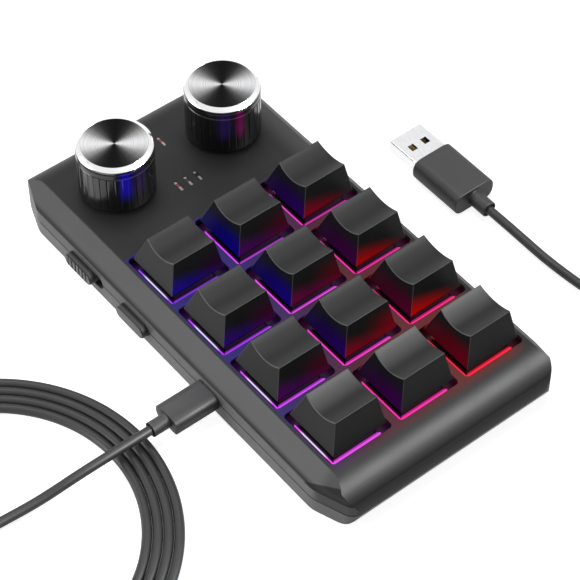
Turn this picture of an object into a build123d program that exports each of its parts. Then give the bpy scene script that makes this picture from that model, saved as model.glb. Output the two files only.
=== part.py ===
from build123d import *

import os
from math import cos, dist, pi, radians, sin, tan

os.makedirs("parts", exist_ok=True)

# A macro keypad: twelve keys in three columns, two rotary knobs behind them, a slide switch,
# a push button and a USB-C socket in the left wall, and a USB lead wound into a flat coil.
# Millimetres. +Z is up, +Y points from the front edge to the knobs, +X to the right.
# The origin is on the surface that the feet stand on, under the middle of the casing.

# Casing, which is as wide and long as its keys and knobs and the margins round them need
side_margin = 4.7
front_margin = 9.7
knob_zone_length = 46.8
corner_cut_width = 4.4
corner_cut_length = 11.9
corner_kink_radius = 9.0
corner_nose_radius = 4.0
foot_height = 1.2
parting_height = 6.1
bevel_foot_height = 9.8
cover_top = 16.3
bevel_width = 4.9
bevel_foot_radius = 1.2
bevel_crest_radius = 0.8
wall = 1.8
floor_thickness = 1.6
lower_edge_radius = 1.3
reveal = 0.3
lip_clearance = 0.2
lip_thickness = 0.8
lip_height = 1.0
overrun = 1.0
fit_clearance = 0.05

# Key field
key_columns = 3
key_rows = 4
window_clearance = 1.3
window_rib = 2.4
window_radius = 1.3

# Keycap, measured from the lower edge of its skirt; its scooped top leans towards -X
skirt_height = 17.3
cap_size = 18.0
cap_rise = 8.9
cap_front_lean = 3.18
cap_back_lean = 0.87
cap_side_lean = 3.08
cap_scoop_depth = 1.5
cap_corner_radius = 0.5
cap_rim_radius = 0.22
cap_wall = 1.3
cap_roof = 1.4

# Casing sizes that follow
window_size = cap_size + 2 * window_clearance
key_pitch = window_size + window_rib
field_half_width = key_columns * key_pitch / 2
field_half_length = key_rows * key_pitch / 2
case_width = 2 * (field_half_width + side_margin)
case_length = front_margin + 2 * field_half_length + knob_zone_length
half_width = case_width / 2
half_length = case_length / 2
half_flat = half_width - bevel_width
key_field_y = -half_length + front_margin + field_half_length
field_back_y = key_field_y + field_half_length
roll_radius = cover_top - parting_height
roof_under = cover_top - wall
floor_top = foot_height + floor_thickness

# Switch
plate_top = 11.3
plate_thickness = 1.5
plate_drop = 5.0
board_thickness = 1.6
switch_body = 13.9
switch_cutout = 14.0
switch_flange = 15.6
switch_flange_height = 1.0
switch_height = 6.6
switch_head = 11.0
switch_neck_base = 14.0
switch_wall = 1.1
switch_roof = 1.0
switch_floor = 1.0
slider_length = 7.2
slider_width = 5.6
slider_gap = 0.2
shoulder_length = 9.0
shoulder_width = 6.6
shoulder_height = 2.2
shoulder_gap = 0.1
slider_skirt = 5.2
slider_roof = 1.3
cross_span = 4.1
cross_arm = 1.17
cross_height = 3.6
cross_clearance = 0.03
boss_diameter = 5.5
pole_diameter = 1.8
pole_length = 6.7
centre_pin_diameter = 3.9
centre_pin_length = 3.2
pin_bore = 2.2
spring_seat_diameter = 3.3
spring_seat_height = 1.3
spring_diameter = 4.5
spring_wall = 0.35
spring_pocket = 4.9
spring_gap = 0.1

# Light guide
guide_thickness = 1.0
guide_frame = 16.3
guide_frame_opening = 14.7
guide_frame_height = 0.7
guide_clearance = 0.15

# Knobs and encoders
knob_spread = 37.8
knob_setback = 23.9
knob_y = half_length - knob_setback
knob_diameter = 22.2
knob_top = 34.3
knob_lift = 0.8
knob_press = 0.5
flute_count = 34
flute_radius = 0.28
flute_end_gap = 0.9
collar_height = 2.0
collar_groove = 0.35
knob_wall = 1.6
knob_roof = 2.0
hub_diameter = 9.4
knob_edge_radius = 0.6
disc_thickness = 1.5
disc_face_diameter = 19.1
disc_ring_drop = 0.9
disc_dish = 0.12
encoder_body = 12.0
encoder_height = 6.5
encoder_wall = 1.0
bush_diameter = 7.0
bush_height = 5.0
bush_hole_clearance = 0.2
shaft_diameter = 5.94
shaft_clearance = 0.06
shaft_flat_depth = 1.45
shaft_flat_length = 9.0
spigot_size = 3.3
spigot_gap = 0.05
rotor_diameter = 9.4
rotor_gap = 0.1

# Controls in the left wall
control_height = 6.0
control_reach = 1.2
control_pill_height = 4.2
control_clearance = 0.2
control_edge_radius = 0.5
flange_reach = 0.7
flange_thickness = 0.8
slide_knob_length = 12.6
slide_knob_setback = 34.5
slide_knob_y = half_length - slide_knob_setback
slide_travel = 3.0
slide_rib_count = 5
slide_rib_gap = 0.55
slide_rib_depth = 0.45
slide_finger_width = 1.6
button_length = 12.8
button_setback = 59.25
button_y = half_length - button_setback
button_travel = 0.4
plunger_diameter = 2.4
plunger_height = 7.6
plunger_reach = 1.9
plunger_clearance = 0.1
side_part_setback = 3.9
slide_body_length = 13.0
slide_body_width = 4.4
slide_body_height = 3.2
tact_length = 6.0
tact_width = 3.6
tact_height = 3.2

# USB-C socket and plug
usb_y = key_field_y
socket_width = 8.94
socket_height = 3.26
socket_wall = 0.31
socket_length = 7.4
socket_setback = 0.8
socket_opening_clearance = 0.2
tongue_width = 6.7
tongue_thickness = 0.7
tongue_setback = 1.1
socket_back = 0.6
socket_ear_width = 1.2
socket_ear_length = 2.0
c_shell_width = 8.25
c_shell_height = 2.4
c_shell_wall = 0.32
c_shell_length = 6.5
c_cover_gap = 0.3
c_cover_width = 9.8
c_cover_height = 5.2
c_cover_length = 13.8
c_relief_diameter = 4.4
c_relief_length = 5.3

# USB-A plug, lying on the surface with its tip towards +Y
a_plug_x = 66.2
a_plug_end_y = -14.0
a_cover_width = 14.8
a_cover_height = 7.4
a_cover_length = 19.0
a_relief_diameter = 5.0
a_relief_length = 6.5
a_shell_width = 12.0
a_shell_height = 4.5
a_shell_wall = 0.35
a_shell_length = 12.0
a_shell_corner = 0.45
a_window_length = 2.4
a_window_width = 2.1
a_window_spread = 4.8
a_window_setback = 4.6
a_insert_height = 1.9
a_insert_setback = 0.5
a_contact_width = 1.0
a_contact_height = 0.2
a_contact_spread = 2.25
a_contact_setback = 1.2
plug_edge_radius = 0.5

# Cable
cable_diameter = 2.8
coil_x = -111.5
coil_y = -17.25
coil_turns = 4
coil_inner_radius = 41.0
coil_step = 3.24
coil_start_angle = 234.0
coil_entry_radius = 16.5
coil_samples = 12
floor_gap = 0.05
cable_radius = cable_diameter / 2
cable_lie = cable_radius + floor_gap

# Fasteners, feet, board parts and battery
screw_diameter = 1.96
screw_length = 8.0
screw_head_diameter = 3.8
screw_head_height = 1.4
screw_head_sink = 0.3
screw_drive_length = 2.2
screw_drive_width = 0.5
screw_drive_depth = 0.7
screw_hole = 2.3
boss_size = 5.0
post_size = 6.0
pilot_diameter = 2.06
pilot_spare = 1.0
corner_screw_inset = 8.6
front_screw_inset = 5.75
back_screw_inset = 6.65
middle_screw_inset = 14.2
middle_screw_setback = 3.55
plate_post_diameter = 2.2
plate_post_clearance = 0.3
foot_diameter = 10.0
foot_clearance = 0.1
foot_seat = 0.5
foot_side_inset = 10.2
foot_end_inset = 17.25
foot_edge = 0.4
board_inset = 3.3
board_gap = 0.2
led_length = 3.2
led_width = 2.8
led_height = 1.2
led_offset = 9.3
slot_over_led = 0.6
chip_size = 7.0
chip_height = 0.9
chip_setback = 3.55
small_led = 1.6
small_led_height = 0.8
battery_length = 54.0
battery_width = 9.3
battery_height = 5.0
battery_inset = 9.35
battery_edge = 1.2
plate_side_margin = 4.2
plate_front_margin = 8.75
plate_back_margin = 0.35
guide_inset = 0.6

# Indicator slots in the top of the upper cover
slot_length = 4.2
slot_width = 1.3
lens_clearance = 0.1
lens_sink = 0.1
lens_flange = 1.0
lens_margin = 0.9
lens_led_gap = 0.3
status_slot_count = 3
status_slot_pitch = 3.375
first_status_slot_x = -5.1
status_slot_setback = 10.4
lock_slot_x = 1.4
lock_slot_lead = 7.0

# Heights that follow
board_top = plate_top - plate_drop
board_under = board_top - board_thickness
flange_top = plate_top + switch_flange_height
switch_top = plate_top + switch_height
encoder_top = board_top + encoder_height
bush_top = encoder_top + bush_height
knob_base = cover_top + knob_lift
disc_base = knob_top - disc_thickness
knob_radius = knob_diameter / 2
inner_wall_x = half_width - wall
board_edge_x = half_width - board_inset
socket_mouth_x = half_width - socket_setback
socket_back_x = socket_mouth_x - socket_length

key_places = [
    ((column - (key_columns - 1) / 2) * key_pitch, key_field_y + ((key_rows - 1) / 2 - row) * key_pitch)
    for row in range(key_rows)
    for column in range(key_columns)
]
key_names = [f"r{row + 1}c{column + 1}" for row in range(key_rows) for column in range(key_columns)]
led_places = [(x, y - led_offset) for x, y in key_places]
knob_places = {"left": (-knob_spread / 2, knob_y), "right": (knob_spread / 2, knob_y)}
screw_places = [
    (side * x, y)
    for x, y in (
        (half_width - corner_screw_inset, -half_length + front_screw_inset),
        (half_width - middle_screw_inset, field_back_y + middle_screw_setback),
        (half_width - corner_screw_inset, half_length - back_screw_inset),
    )
    for side in (-1, 1)
]
foot_places = [
    (across * (half_width - foot_side_inset), along * (half_length - foot_end_inset))
    for across in (-1, 1)
    for along in (-1, 1)
]
plate_post_places = [
    (side * key_pitch / 2, key_field_y + step * key_pitch) for side in (-1, 1) for step in (-1, 0, 1)
]
status_slots = [
    (first_status_slot_x + slot * status_slot_pitch, knob_y - status_slot_setback)
    for slot in range(status_slot_count)
]
lock_slot = (lock_slot_x, knob_y + lock_slot_lead)
indicator_places = [*status_slots, lock_slot]
low = (Align.CENTER, Align.CENTER, Align.MIN)
high = (Align.CENTER, Align.CENTER, Align.MAX)


def plan_outline(inset):
    """Casing outline seen from above, drawn in by inset, with its long corner cuts."""
    kink_y = half_length - corner_cut_length
    nose_x = half_width - corner_cut_width
    quarter = [(half_width, kink_y), (nose_x, half_length)]
    points = [
        *quarter,
        *[(-x, y) for x, y in reversed(quarter)],
        *[(-x, -y) for x, y in quarter],
        *[(x, -y) for x, y in reversed(quarter)],
    ]
    with BuildSketch() as outline:
        Polygon(*points, align=None)
        noses = outline.vertices().filter_by(lambda v: abs(abs(v.Y) - half_length) < fit_clearance)
        fillet(noses, corner_nose_radius)
        kinks = outline.vertices().filter_by(lambda v: abs(abs(v.Y) - kink_y) < fit_clearance)
        fillet(kinks, corner_kink_radius)
        if inset:
            offset(amount=-inset)
    return outline.sketch


def side_profile(inset):
    """Section across the casing: flat bottom, upright walls, sloping bevels and the flat top."""
    with BuildSketch() as profile:
        Polygon(
            (half_width, foot_height),
            (half_width, bevel_foot_height),
            (half_flat, cover_top),
            (-half_flat, cover_top),
            (-half_width, bevel_foot_height),
            (-half_width, foot_height),
            align=None,
        )
        if inset:
            offset(amount=-inset, kind=Kind.INTERSECTION)
        else:
            heights = profile.vertices().group_by(Axis.Y)
            fillet(heights[-1], bevel_crest_radius)
            fillet(heights[1], bevel_foot_radius)
            fillet(heights[0], lower_edge_radius)
    return profile.sketch


def end_profile(inset):
    """Section along the casing: both ends roll over above the parting line and under below it."""
    upper_roll = roll_radius - inset
    lower_roll = parting_height - foot_height - inset
    upper_turn = half_length - roll_radius
    lower_turn = half_length - parting_height + foot_height
    top = parting_height + upper_roll
    bottom = parting_height - lower_roll
    with BuildSketch() as profile:
        with BuildLine():
            CenterArc((upper_turn, parting_height), upper_roll, 0, 90)
            Line((upper_turn, top), (-upper_turn, top))
            CenterArc((-upper_turn, parting_height), upper_roll, 90, 90)
            CenterArc((-lower_turn, parting_height), lower_roll, 180, 90)
            Line((-lower_turn, bottom), (lower_turn, bottom))
            CenterArc((lower_turn, parting_height), lower_roll, 270, 90)
        make_face()
    return profile.sketch


def casing_form(inset, bottom, top):
    """Solid casing form between two heights, drawn in by inset on every side and from above."""
    with BuildPart() as form:
        with BuildSketch(Plane.XY.offset(bottom)):
            add(plan_outline(inset))
        extrude(amount=top - bottom)
        with BuildSketch(Plane.XZ):
            add(side_profile(inset))
        extrude(amount=case_length, both=True, mode=Mode.INTERSECT)
        with BuildSketch(Plane.YZ):
            add(end_profile(inset))
        extrude(amount=case_length, both=True, mode=Mode.INTERSECT)
    return form


def wall_openings():
    """Outlines of the slide slot, the button hole and the socket opening in the left wall."""
    pill = control_pill_height + 2 * control_clearance
    socket_gap = 2 * socket_opening_clearance
    with BuildSketch() as openings:
        with Locations((slide_knob_y - slide_travel / 2, control_height)):
            SlotOverall(slide_knob_length + slide_travel + 2 * control_clearance, pill)
        with Locations((button_y, control_height)):
            SlotOverall(button_length + 2 * control_clearance, pill)
        with Locations((usb_y, parting_height)):
            SlotOverall(socket_width + socket_gap, socket_height + socket_gap)
    return openings.sketch


# Upper cover: a moulded shell with a window for each key and a hole for each knob bush.
# Bosses for the screws and posts that hold the switch plate down stand inside it.
outer_form = casing_form(0, parting_height, cover_top)
inner_form = casing_form(wall, foot_height + wall, cover_top)

with BuildPart() as cover_posts:
    with Locations(*[(x, y, board_top) for x, y in screw_places]):
        Cylinder(boss_size / 2, cover_top - board_top, align=low)
    with Locations(*[(x, y, plate_top) for x, y in plate_post_places]):
        Cylinder(plate_post_diameter / 2, cover_top - plate_top, align=low)
    add(outer_form.part, mode=Mode.INTERSECT)

with BuildPart() as upper_cover:
    add(outer_form.part)
    add(inner_form.part, mode=Mode.SUBTRACT)
    add(cover_posts.part)
    with BuildSketch(Plane.XY.offset(cover_top + overrun)):
        with Locations(*key_places):
            RectangleRounded(window_size, window_size, window_radius)
        with Locations(*knob_places.values()):
            Circle(bush_diameter / 2 + bush_hole_clearance)
        with Locations(*indicator_places):
            SlotOverall(slot_length, slot_width, rotation=90)
    extrude(amount=-(wall + 2 * overrun), mode=Mode.SUBTRACT)
    with Locations(*[(x, y, board_top) for x, y in screw_places]):
        pilot_depth = screw_length - board_thickness + pilot_spare
        Cylinder(pilot_diameter / 2, pilot_depth, align=low, mode=Mode.SUBTRACT)
    with BuildSketch(Plane.YZ.offset(-half_width - overrun)):
        add(wall_openings())
    extrude(amount=overrun + wall + lip_clearance, mode=Mode.SUBTRACT)
upper_cover.part.label = "upper_cover"
export_step(upper_cover.part, "parts/upper_cover.step")


# Lower cover: a shallow tray with a locating lip, six screw posts and seats for the feet.
post_height = board_under - floor_top
head_seat = foot_height + screw_head_sink + screw_head_height

with BuildPart() as lower_cover:
    add(casing_form(0, foot_height, parting_height).part)
    with BuildSketch(Plane.XY.offset(parting_height - reveal)):
        add(plan_outline(0))
        add(plan_outline(reveal), mode=Mode.SUBTRACT)
    extrude(amount=reveal + overrun, mode=Mode.SUBTRACT)
    with BuildSketch(Plane.XY.offset(floor_top)):
        add(plan_outline(wall))
    extrude(amount=parting_height, mode=Mode.SUBTRACT)
    with BuildSketch(Plane.XY.offset(floor_top)):
        add(plan_outline(wall))
        add(plan_outline(wall + lip_clearance + lip_thickness), mode=Mode.SUBTRACT)
    extrude(amount=parting_height - floor_top)
    with BuildSketch(Plane.XY.offset(parting_height)):
        add(plan_outline(wall + lip_clearance))
        add(plan_outline(wall + lip_clearance + lip_thickness), mode=Mode.SUBTRACT)
    extrude(amount=lip_height)
    with Locations(*[(x, y, floor_top) for x, y in screw_places]):
        Cylinder(post_size / 2, post_height, align=low)
    with Locations(*[(x, y, foot_height) for x, y in screw_places]):
        Cylinder(screw_hole / 2, board_under, align=low, mode=Mode.SUBTRACT)
        head_room = screw_head_diameter / 2 + board_gap
        Cylinder(head_room, head_seat - foot_height, align=low, mode=Mode.SUBTRACT)
    with Locations(*[(x, y, foot_height) for x, y in foot_places]):
        Cylinder(foot_diameter / 2 + foot_clearance, foot_seat, align=low, mode=Mode.SUBTRACT)
    with BuildSketch(Plane.YZ.offset(-half_width - overrun)):
        add(wall_openings())
    extrude(amount=wall + lip_clearance + lip_thickness + 2 * overrun, mode=Mode.SUBTRACT)
    clear_from = slide_knob_y - slide_travel - slide_knob_length / 2 - 2 * flange_reach
    clear_to = slide_knob_y + slide_knob_length / 2 + 2 * flange_reach
    with BuildSketch(Plane.XY.offset(floor_top)):
        with Locations((-inner_wall_x, (clear_from + clear_to) / 2)):
            Rectangle(2 * board_inset - 2 * wall, clear_to - clear_from, align=(Align.MIN, Align.CENTER))
        with Locations((-inner_wall_x, button_y)):
            Rectangle(
                2 * board_inset - 2 * wall,
                button_length + 4 * flange_reach,
                align=(Align.MIN, Align.CENTER),
            )
    extrude(amount=parting_height, mode=Mode.SUBTRACT)
lower_cover.part.label = "lower_cover"
export_step(lower_cover.part, "parts/lower_cover.step")


# Rubber feet: four discs pressed into shallow seats under the tray.
with BuildPart() as rubber_feet:
    with Locations(*[(x, y, 0) for x, y in foot_places]):
        Cylinder(foot_diameter / 2, foot_height + foot_seat, align=low)
    chamfer(rubber_feet.edges().group_by(Axis.Z)[0], foot_edge)
rubber_feet.part.label = "rubber_feet"
export_step(rubber_feet.part, "parts/rubber_feet.step")


# Case screws: six pan-head screws, driven up through the tray and the board into the bosses.
with BuildPart() as case_screws:
    with Locations(*[(x, y, head_seat) for x, y in screw_places]):
        Cylinder(screw_head_diameter / 2, screw_head_height, align=high)
        Cylinder(screw_diameter / 2, screw_length, align=low)
    with Locations(*[(x, y, head_seat - screw_head_height) for x, y in screw_places]):
        Box(screw_drive_length, screw_drive_width, screw_drive_depth, align=low, mode=Mode.SUBTRACT)
        Box(screw_drive_width, screw_drive_length, screw_drive_depth, align=low, mode=Mode.SUBTRACT)
case_screws.part.label = "case_screws"
export_step(case_screws.part, "parts/case_screws.step")


# Switch plate: a punched sheet that the switches clip into, with a light slot beside each.
plate_half_width = half_width - plate_side_margin
plate_front_y = -half_length + plate_front_margin
plate_back_y = field_back_y + plate_back_margin
plate_middle_y = (plate_front_y + plate_back_y) / 2
plate_length = plate_back_y - plate_front_y

with BuildPart() as switch_plate:
    with BuildSketch(Plane.XY.offset(plate_top)):
        with Locations((0, plate_middle_y)):
            RectangleRounded(2 * plate_half_width, plate_length, window_radius)
        with Locations(*key_places):
            Rectangle(switch_cutout, switch_cutout, mode=Mode.SUBTRACT)
        with Locations(*led_places):
            Rectangle(led_length + 2 * slot_over_led, led_width / 2, mode=Mode.SUBTRACT)
    extrude(amount=-plate_thickness)
switch_plate.part.label = "switch_plate"
export_step(switch_plate.part, "parts/switch_plate.step")


# Light guide: one clear sheet on the plate, with a raised frame round each switch.
guide_half_width = plate_half_width - guide_inset
guide_length = plate_length - 2 * guide_inset

with BuildPart() as light_guide:
    with BuildSketch(Plane.XY.offset(plate_top)):
        with Locations((0, plate_middle_y)):
            RectangleRounded(2 * guide_half_width, guide_length, window_radius)
        with Locations(*plate_post_places):
            Circle(plate_post_diameter / 2 + plate_post_clearance, mode=Mode.SUBTRACT)
        with Locations(*key_places):
            opening = switch_flange + 2 * guide_clearance
            Rectangle(opening, opening, mode=Mode.SUBTRACT)
    extrude(amount=guide_thickness)
    with BuildSketch(Plane.XY.offset(plate_top + guide_thickness)):
        with Locations(*key_places):
            Rectangle(guide_frame, guide_frame)
            Rectangle(guide_frame_opening, guide_frame_opening, mode=Mode.SUBTRACT)
    extrude(amount=guide_frame_height)
light_guide.part.label = "light_guide"
export_step(light_guide.part, "parts/light_guide.step")


# Main board: carries the switches, the encoders, the side controls and one light per key.
with BuildPart() as main_board:
    with BuildSketch(Plane.XY.offset(board_under)):
        add(plan_outline(board_inset))
        with Locations(*screw_places):
            Circle(screw_hole / 2 + fit_clearance, mode=Mode.SUBTRACT)
        with Locations(*key_places):
            Circle(centre_pin_diameter / 2 + fit_clearance, mode=Mode.SUBTRACT)
        with Locations((-board_edge_x - overrun, usb_y)):
            Rectangle(
                board_edge_x - socket_back_x + overrun + board_gap,
                socket_width + 2 * board_gap,
                align=(Align.MIN, Align.CENTER),
                mode=Mode.SUBTRACT,
            )
    extrude(amount=board_thickness)
    with Locations(*[(x, y, board_top) for x, y in led_places]):
        Box(led_length, led_width, led_height, align=low)
    with Locations(*[(x, y, board_top) for x, y in indicator_places]):
        Box(small_led, small_led, small_led_height, align=low)
    with Locations((0, field_back_y + chip_setback, board_top)):
        Box(chip_size, chip_size, chip_height, align=low)
main_board.part.label = "main_board"
export_step(main_board.part, "parts/main_board.step")


# Battery: a slim pouch cell taped to the board behind the encoders.
with BuildPart() as battery:
    with Locations((0, half_length - battery_inset, board_top)):
        Box(battery_length, battery_width, battery_height, align=low)
    fillet(battery.edges().filter_by(Axis.X), battery_edge)
battery.part.label = "battery"
export_step(battery.part, "parts/battery.step")


# Indicator lenses: clear pipes from the small lights on the board up into the cover's slots.
with BuildPart() as indicator_lenses:
    middle_x = (status_slots[0][0] + status_slots[-1][0]) / 2
    status_span = status_slots[-1][0] - status_slots[0][0]
    with BuildSketch(Plane.XY.offset(roof_under)):
        with Locations((middle_x, status_slots[0][1])):
            Rectangle(status_span + slot_width + 2 * lens_margin, slot_length + lens_margin)
        with Locations(lock_slot):
            Rectangle(slot_width + 2 * lens_margin, slot_length + lens_margin)
    extrude(amount=-lens_flange)
    with BuildSketch(Plane.XY.offset(cover_top - lens_sink)):
        with Locations(*indicator_places):
            SlotOverall(slot_length - 2 * lens_clearance, slot_width - 2 * lens_clearance, rotation=90)
    extrude(amount=-(cover_top - lens_sink - board_top - small_led_height - lens_led_gap))
indicator_lenses.part.label = "indicator_lenses"
export_step(indicator_lenses.part, "parts/indicator_lenses.step")


# Switch housings: each switch has a lower half clipped in the plate and an upper half on it.
housing_depth = plate_top - board_top
well_size = switch_body - 2 * switch_wall

with BuildPart() as lower_housing:
    with Locations((0, 0, board_top)):
        Box(switch_body, switch_body, housing_depth, align=low)
    with Locations((0, 0, plate_top)):
        Box(switch_flange, switch_flange, switch_flange_height, align=low)
    with Locations((0, 0, board_top + switch_floor)):
        Box(well_size, well_size, switch_height + housing_depth, align=low, mode=Mode.SUBTRACT)
        Cylinder(spring_seat_diameter / 2, spring_seat_height, align=low)
    with Locations((0, 0, board_top - centre_pin_length)):
        Cylinder(centre_pin_diameter / 2, centre_pin_length, align=low)
    with Locations((0, 0, board_top - centre_pin_length + switch_floor)):
        Cylinder(pin_bore / 2, switch_height, align=low, mode=Mode.SUBTRACT)

with BuildPart() as upper_housing:
    with BuildSketch(Plane.XY.offset(flange_top)):
        Rectangle(switch_neck_base, switch_neck_base)
    with BuildSketch(Plane.XY.offset(switch_top)):
        Rectangle(switch_head, switch_head)
    loft()
    head_room = switch_head - switch_wall
    with BuildSketch(Plane.XY.offset(flange_top)):
        Rectangle(well_size, well_size)
    with BuildSketch(Plane.XY.offset(switch_top - switch_roof)):
        Rectangle(head_room, head_room)
    loft(mode=Mode.SUBTRACT)
    with Locations((0, 0, switch_top)):
        Box(
            slider_length + 2 * slider_gap,
            slider_width + 2 * slider_gap,
            2 * switch_roof,
            mode=Mode.SUBTRACT,
        )

with BuildPart() as switch_lower_housings:
    with Locations(*key_places):
        add(lower_housing.part)
switch_lower_housings.part.label = "switch_lower_housings"
export_step(switch_lower_housings.part, "parts/switch_lower_housings.step")

with BuildPart() as switch_upper_housings:
    with Locations(*key_places):
        add(upper_housing.part)
switch_upper_housings.part.label = "switch_upper_housings"
export_step(switch_upper_housings.part, "parts/switch_upper_housings.step")


# Key springs: one coil spring inside each switch, drawn as the sleeve that its turns fill.
spring_base = board_top + switch_floor + spring_gap
spring_ceiling = switch_top - slider_roof - spring_gap

with BuildPart() as key_springs:
    with BuildSketch(Plane.XY.offset(spring_base)):
        with Locations(*key_places):
            Circle(spring_diameter / 2)
            Circle(spring_diameter / 2 - spring_wall, mode=Mode.SUBTRACT)
    extrude(amount=spring_ceiling - spring_base)
key_springs.part.label = "key_springs"
export_step(key_springs.part, "parts/key_springs.step")


# Switch stem: the slider with its shoulders, hollow for the spring, and the cross on its top.
with BuildPart() as stem_form:
    with Locations((0, 0, switch_top)):
        Box(slider_length, slider_width, slider_skirt, align=high)
    with Locations((0, 0, switch_top - switch_roof - shoulder_gap)):
        Box(shoulder_length, shoulder_width, shoulder_height, align=high)
    with Locations((0, 0, switch_top - slider_roof)):
        Cylinder(spring_pocket / 2, slider_skirt, align=high, mode=Mode.SUBTRACT)
        Cylinder(pole_diameter / 2, pole_length, align=high)
    with Locations((0, 0, switch_top)):
        Box(cross_span, cross_arm, cross_height, align=low)
        Box(cross_arm, cross_span, cross_height, align=low)

# Keycap: a hollow moulding whose four walls lean in, with a scooped top and a cross socket.
scoop_half = cap_size / 2 - cap_side_lean
scoop_radius = (scoop_half**2 + cap_scoop_depth**2) / (2 * cap_scoop_depth)
cap_blank_rise = cap_rise + overrun
blank_share = cap_blank_rise / cap_rise


def cap_section(rise_share, shrink):
    """Outline of the cap at a share of its rise, drawn in by shrink on all four sides."""
    front = cap_size / 2 - cap_front_lean * rise_share - shrink
    back = cap_size / 2 - cap_back_lean * rise_share - shrink
    side = cap_size / 2 - cap_side_lean * rise_share - shrink
    with Locations(((back - front) / 2, 0)):
        RectangleRounded(front + back, 2 * side, cap_corner_radius)


with BuildPart() as cap_form:
    with BuildSketch(Plane.XY.offset(skirt_height)):
        cap_section(0, 0)
    with BuildSketch(Plane.XY.offset(skirt_height + cap_blank_rise)):
        cap_section(blank_share, 0)
    loft()
    with Locations((0, 0, skirt_height + cap_rise - cap_scoop_depth + scoop_radius)):
        Cylinder(scoop_radius, 2 * cap_size, rotation=(0, 90, 0), mode=Mode.SUBTRACT)
    rim = cap_form.edges().filter_by(
        lambda e: e.center().Z > skirt_height + cap_rise - cap_scoop_depth - cap_wall
        and e.length > cap_size / 2
    )
    fillet(rim, cap_rim_radius)
    hollow_rise = cap_rise - cap_scoop_depth - cap_roof
    with BuildSketch(Plane.XY.offset(skirt_height)):
        cap_section(0, cap_wall)
    with BuildSketch(Plane.XY.offset(skirt_height + hollow_rise)):
        cap_section(hollow_rise / cap_rise, cap_wall)
    loft(mode=Mode.SUBTRACT)
    boss_bottom = switch_top
    with Locations((0, 0, boss_bottom)):
        Cylinder(boss_diameter / 2, skirt_height + hollow_rise - boss_bottom, align=low)
        socket_span = cross_span + 2 * cross_clearance
        socket_arm = cross_arm + 2 * cross_clearance
        Box(socket_span, socket_arm, cross_height + cross_clearance, align=low, mode=Mode.SUBTRACT)
        Box(socket_arm, socket_span, cross_height + cross_clearance, align=low, mode=Mode.SUBTRACT)

for key_name, (key_x, key_y) in zip(key_names, key_places):
    with BuildPart() as keycap:
        with Locations((key_x, key_y)):
            add(cap_form.part)
    keycap.part.label = f"keycap_{key_name}"
    export_step(keycap.part, f"parts/keycap_{key_name}.step")
    with BuildPart() as switch_stem:
        with Locations((key_x, key_y)):
            add(stem_form.part)
    switch_stem.part.label = f"switch_stem_{key_name}"
    export_step(switch_stem.part, f"parts/switch_stem_{key_name}.step")


# Encoders: a housing with a threaded bush on the board, a rotor inside it, and the shaft,
# which turns the rotor through a square spigot and slides down in it when pressed.
cavity_base = board_top + encoder_wall
cavity_top = encoder_top - encoder_wall
rotor_top = cavity_top - knob_press
shaft_foot = cavity_top + rotor_gap
shaft_top = disc_base - knob_roof

with BuildPart() as encoder_housings:
    with Locations(*[(x, y, board_top) for x, y in knob_places.values()]):
        Box(encoder_body, encoder_body, encoder_height, align=low)
    with Locations(*[(x, y, encoder_top) for x, y in knob_places.values()]):
        Cylinder(bush_diameter / 2, bush_height, align=low)
    with Locations(*[(x, y, cavity_base) for x, y in knob_places.values()]):
        room = rotor_diameter / 2 + rotor_gap
        Cylinder(room, cavity_top - cavity_base, align=low, mode=Mode.SUBTRACT)
        bore = shaft_diameter / 2 + shaft_clearance
        Cylinder(bore, bush_top, align=low, mode=Mode.SUBTRACT)
encoder_housings.part.label = "encoder_housings"
export_step(encoder_housings.part, "parts/encoder_housings.step")

with BuildPart() as rotor_form:
    with BuildSketch(Plane.XY.offset(cavity_base + rotor_gap)):
        Circle(rotor_diameter / 2)
        Rectangle(spigot_size + 2 * spigot_gap, spigot_size + 2 * spigot_gap, mode=Mode.SUBTRACT)
    extrude(amount=rotor_top - cavity_base - rotor_gap)

with BuildPart() as shaft_form:
    with Locations((0, 0, shaft_foot)):
        Cylinder(shaft_diameter / 2, shaft_top - shaft_foot, align=low)
        Box(spigot_size, spigot_size, shaft_foot - cavity_base - knob_press - 2 * rotor_gap, align=high)
    with Locations((0, shaft_diameter / 2, shaft_top)):
        Box(shaft_diameter, 2 * shaft_flat_depth, shaft_flat_length, align=high, mode=Mode.SUBTRACT)

# Knob: a fluted shell with a smooth collar, and a hub that fits the flatted shaft.
collar_base = disc_base - collar_height
hub_base = bush_top + knob_press + board_gap

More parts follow.
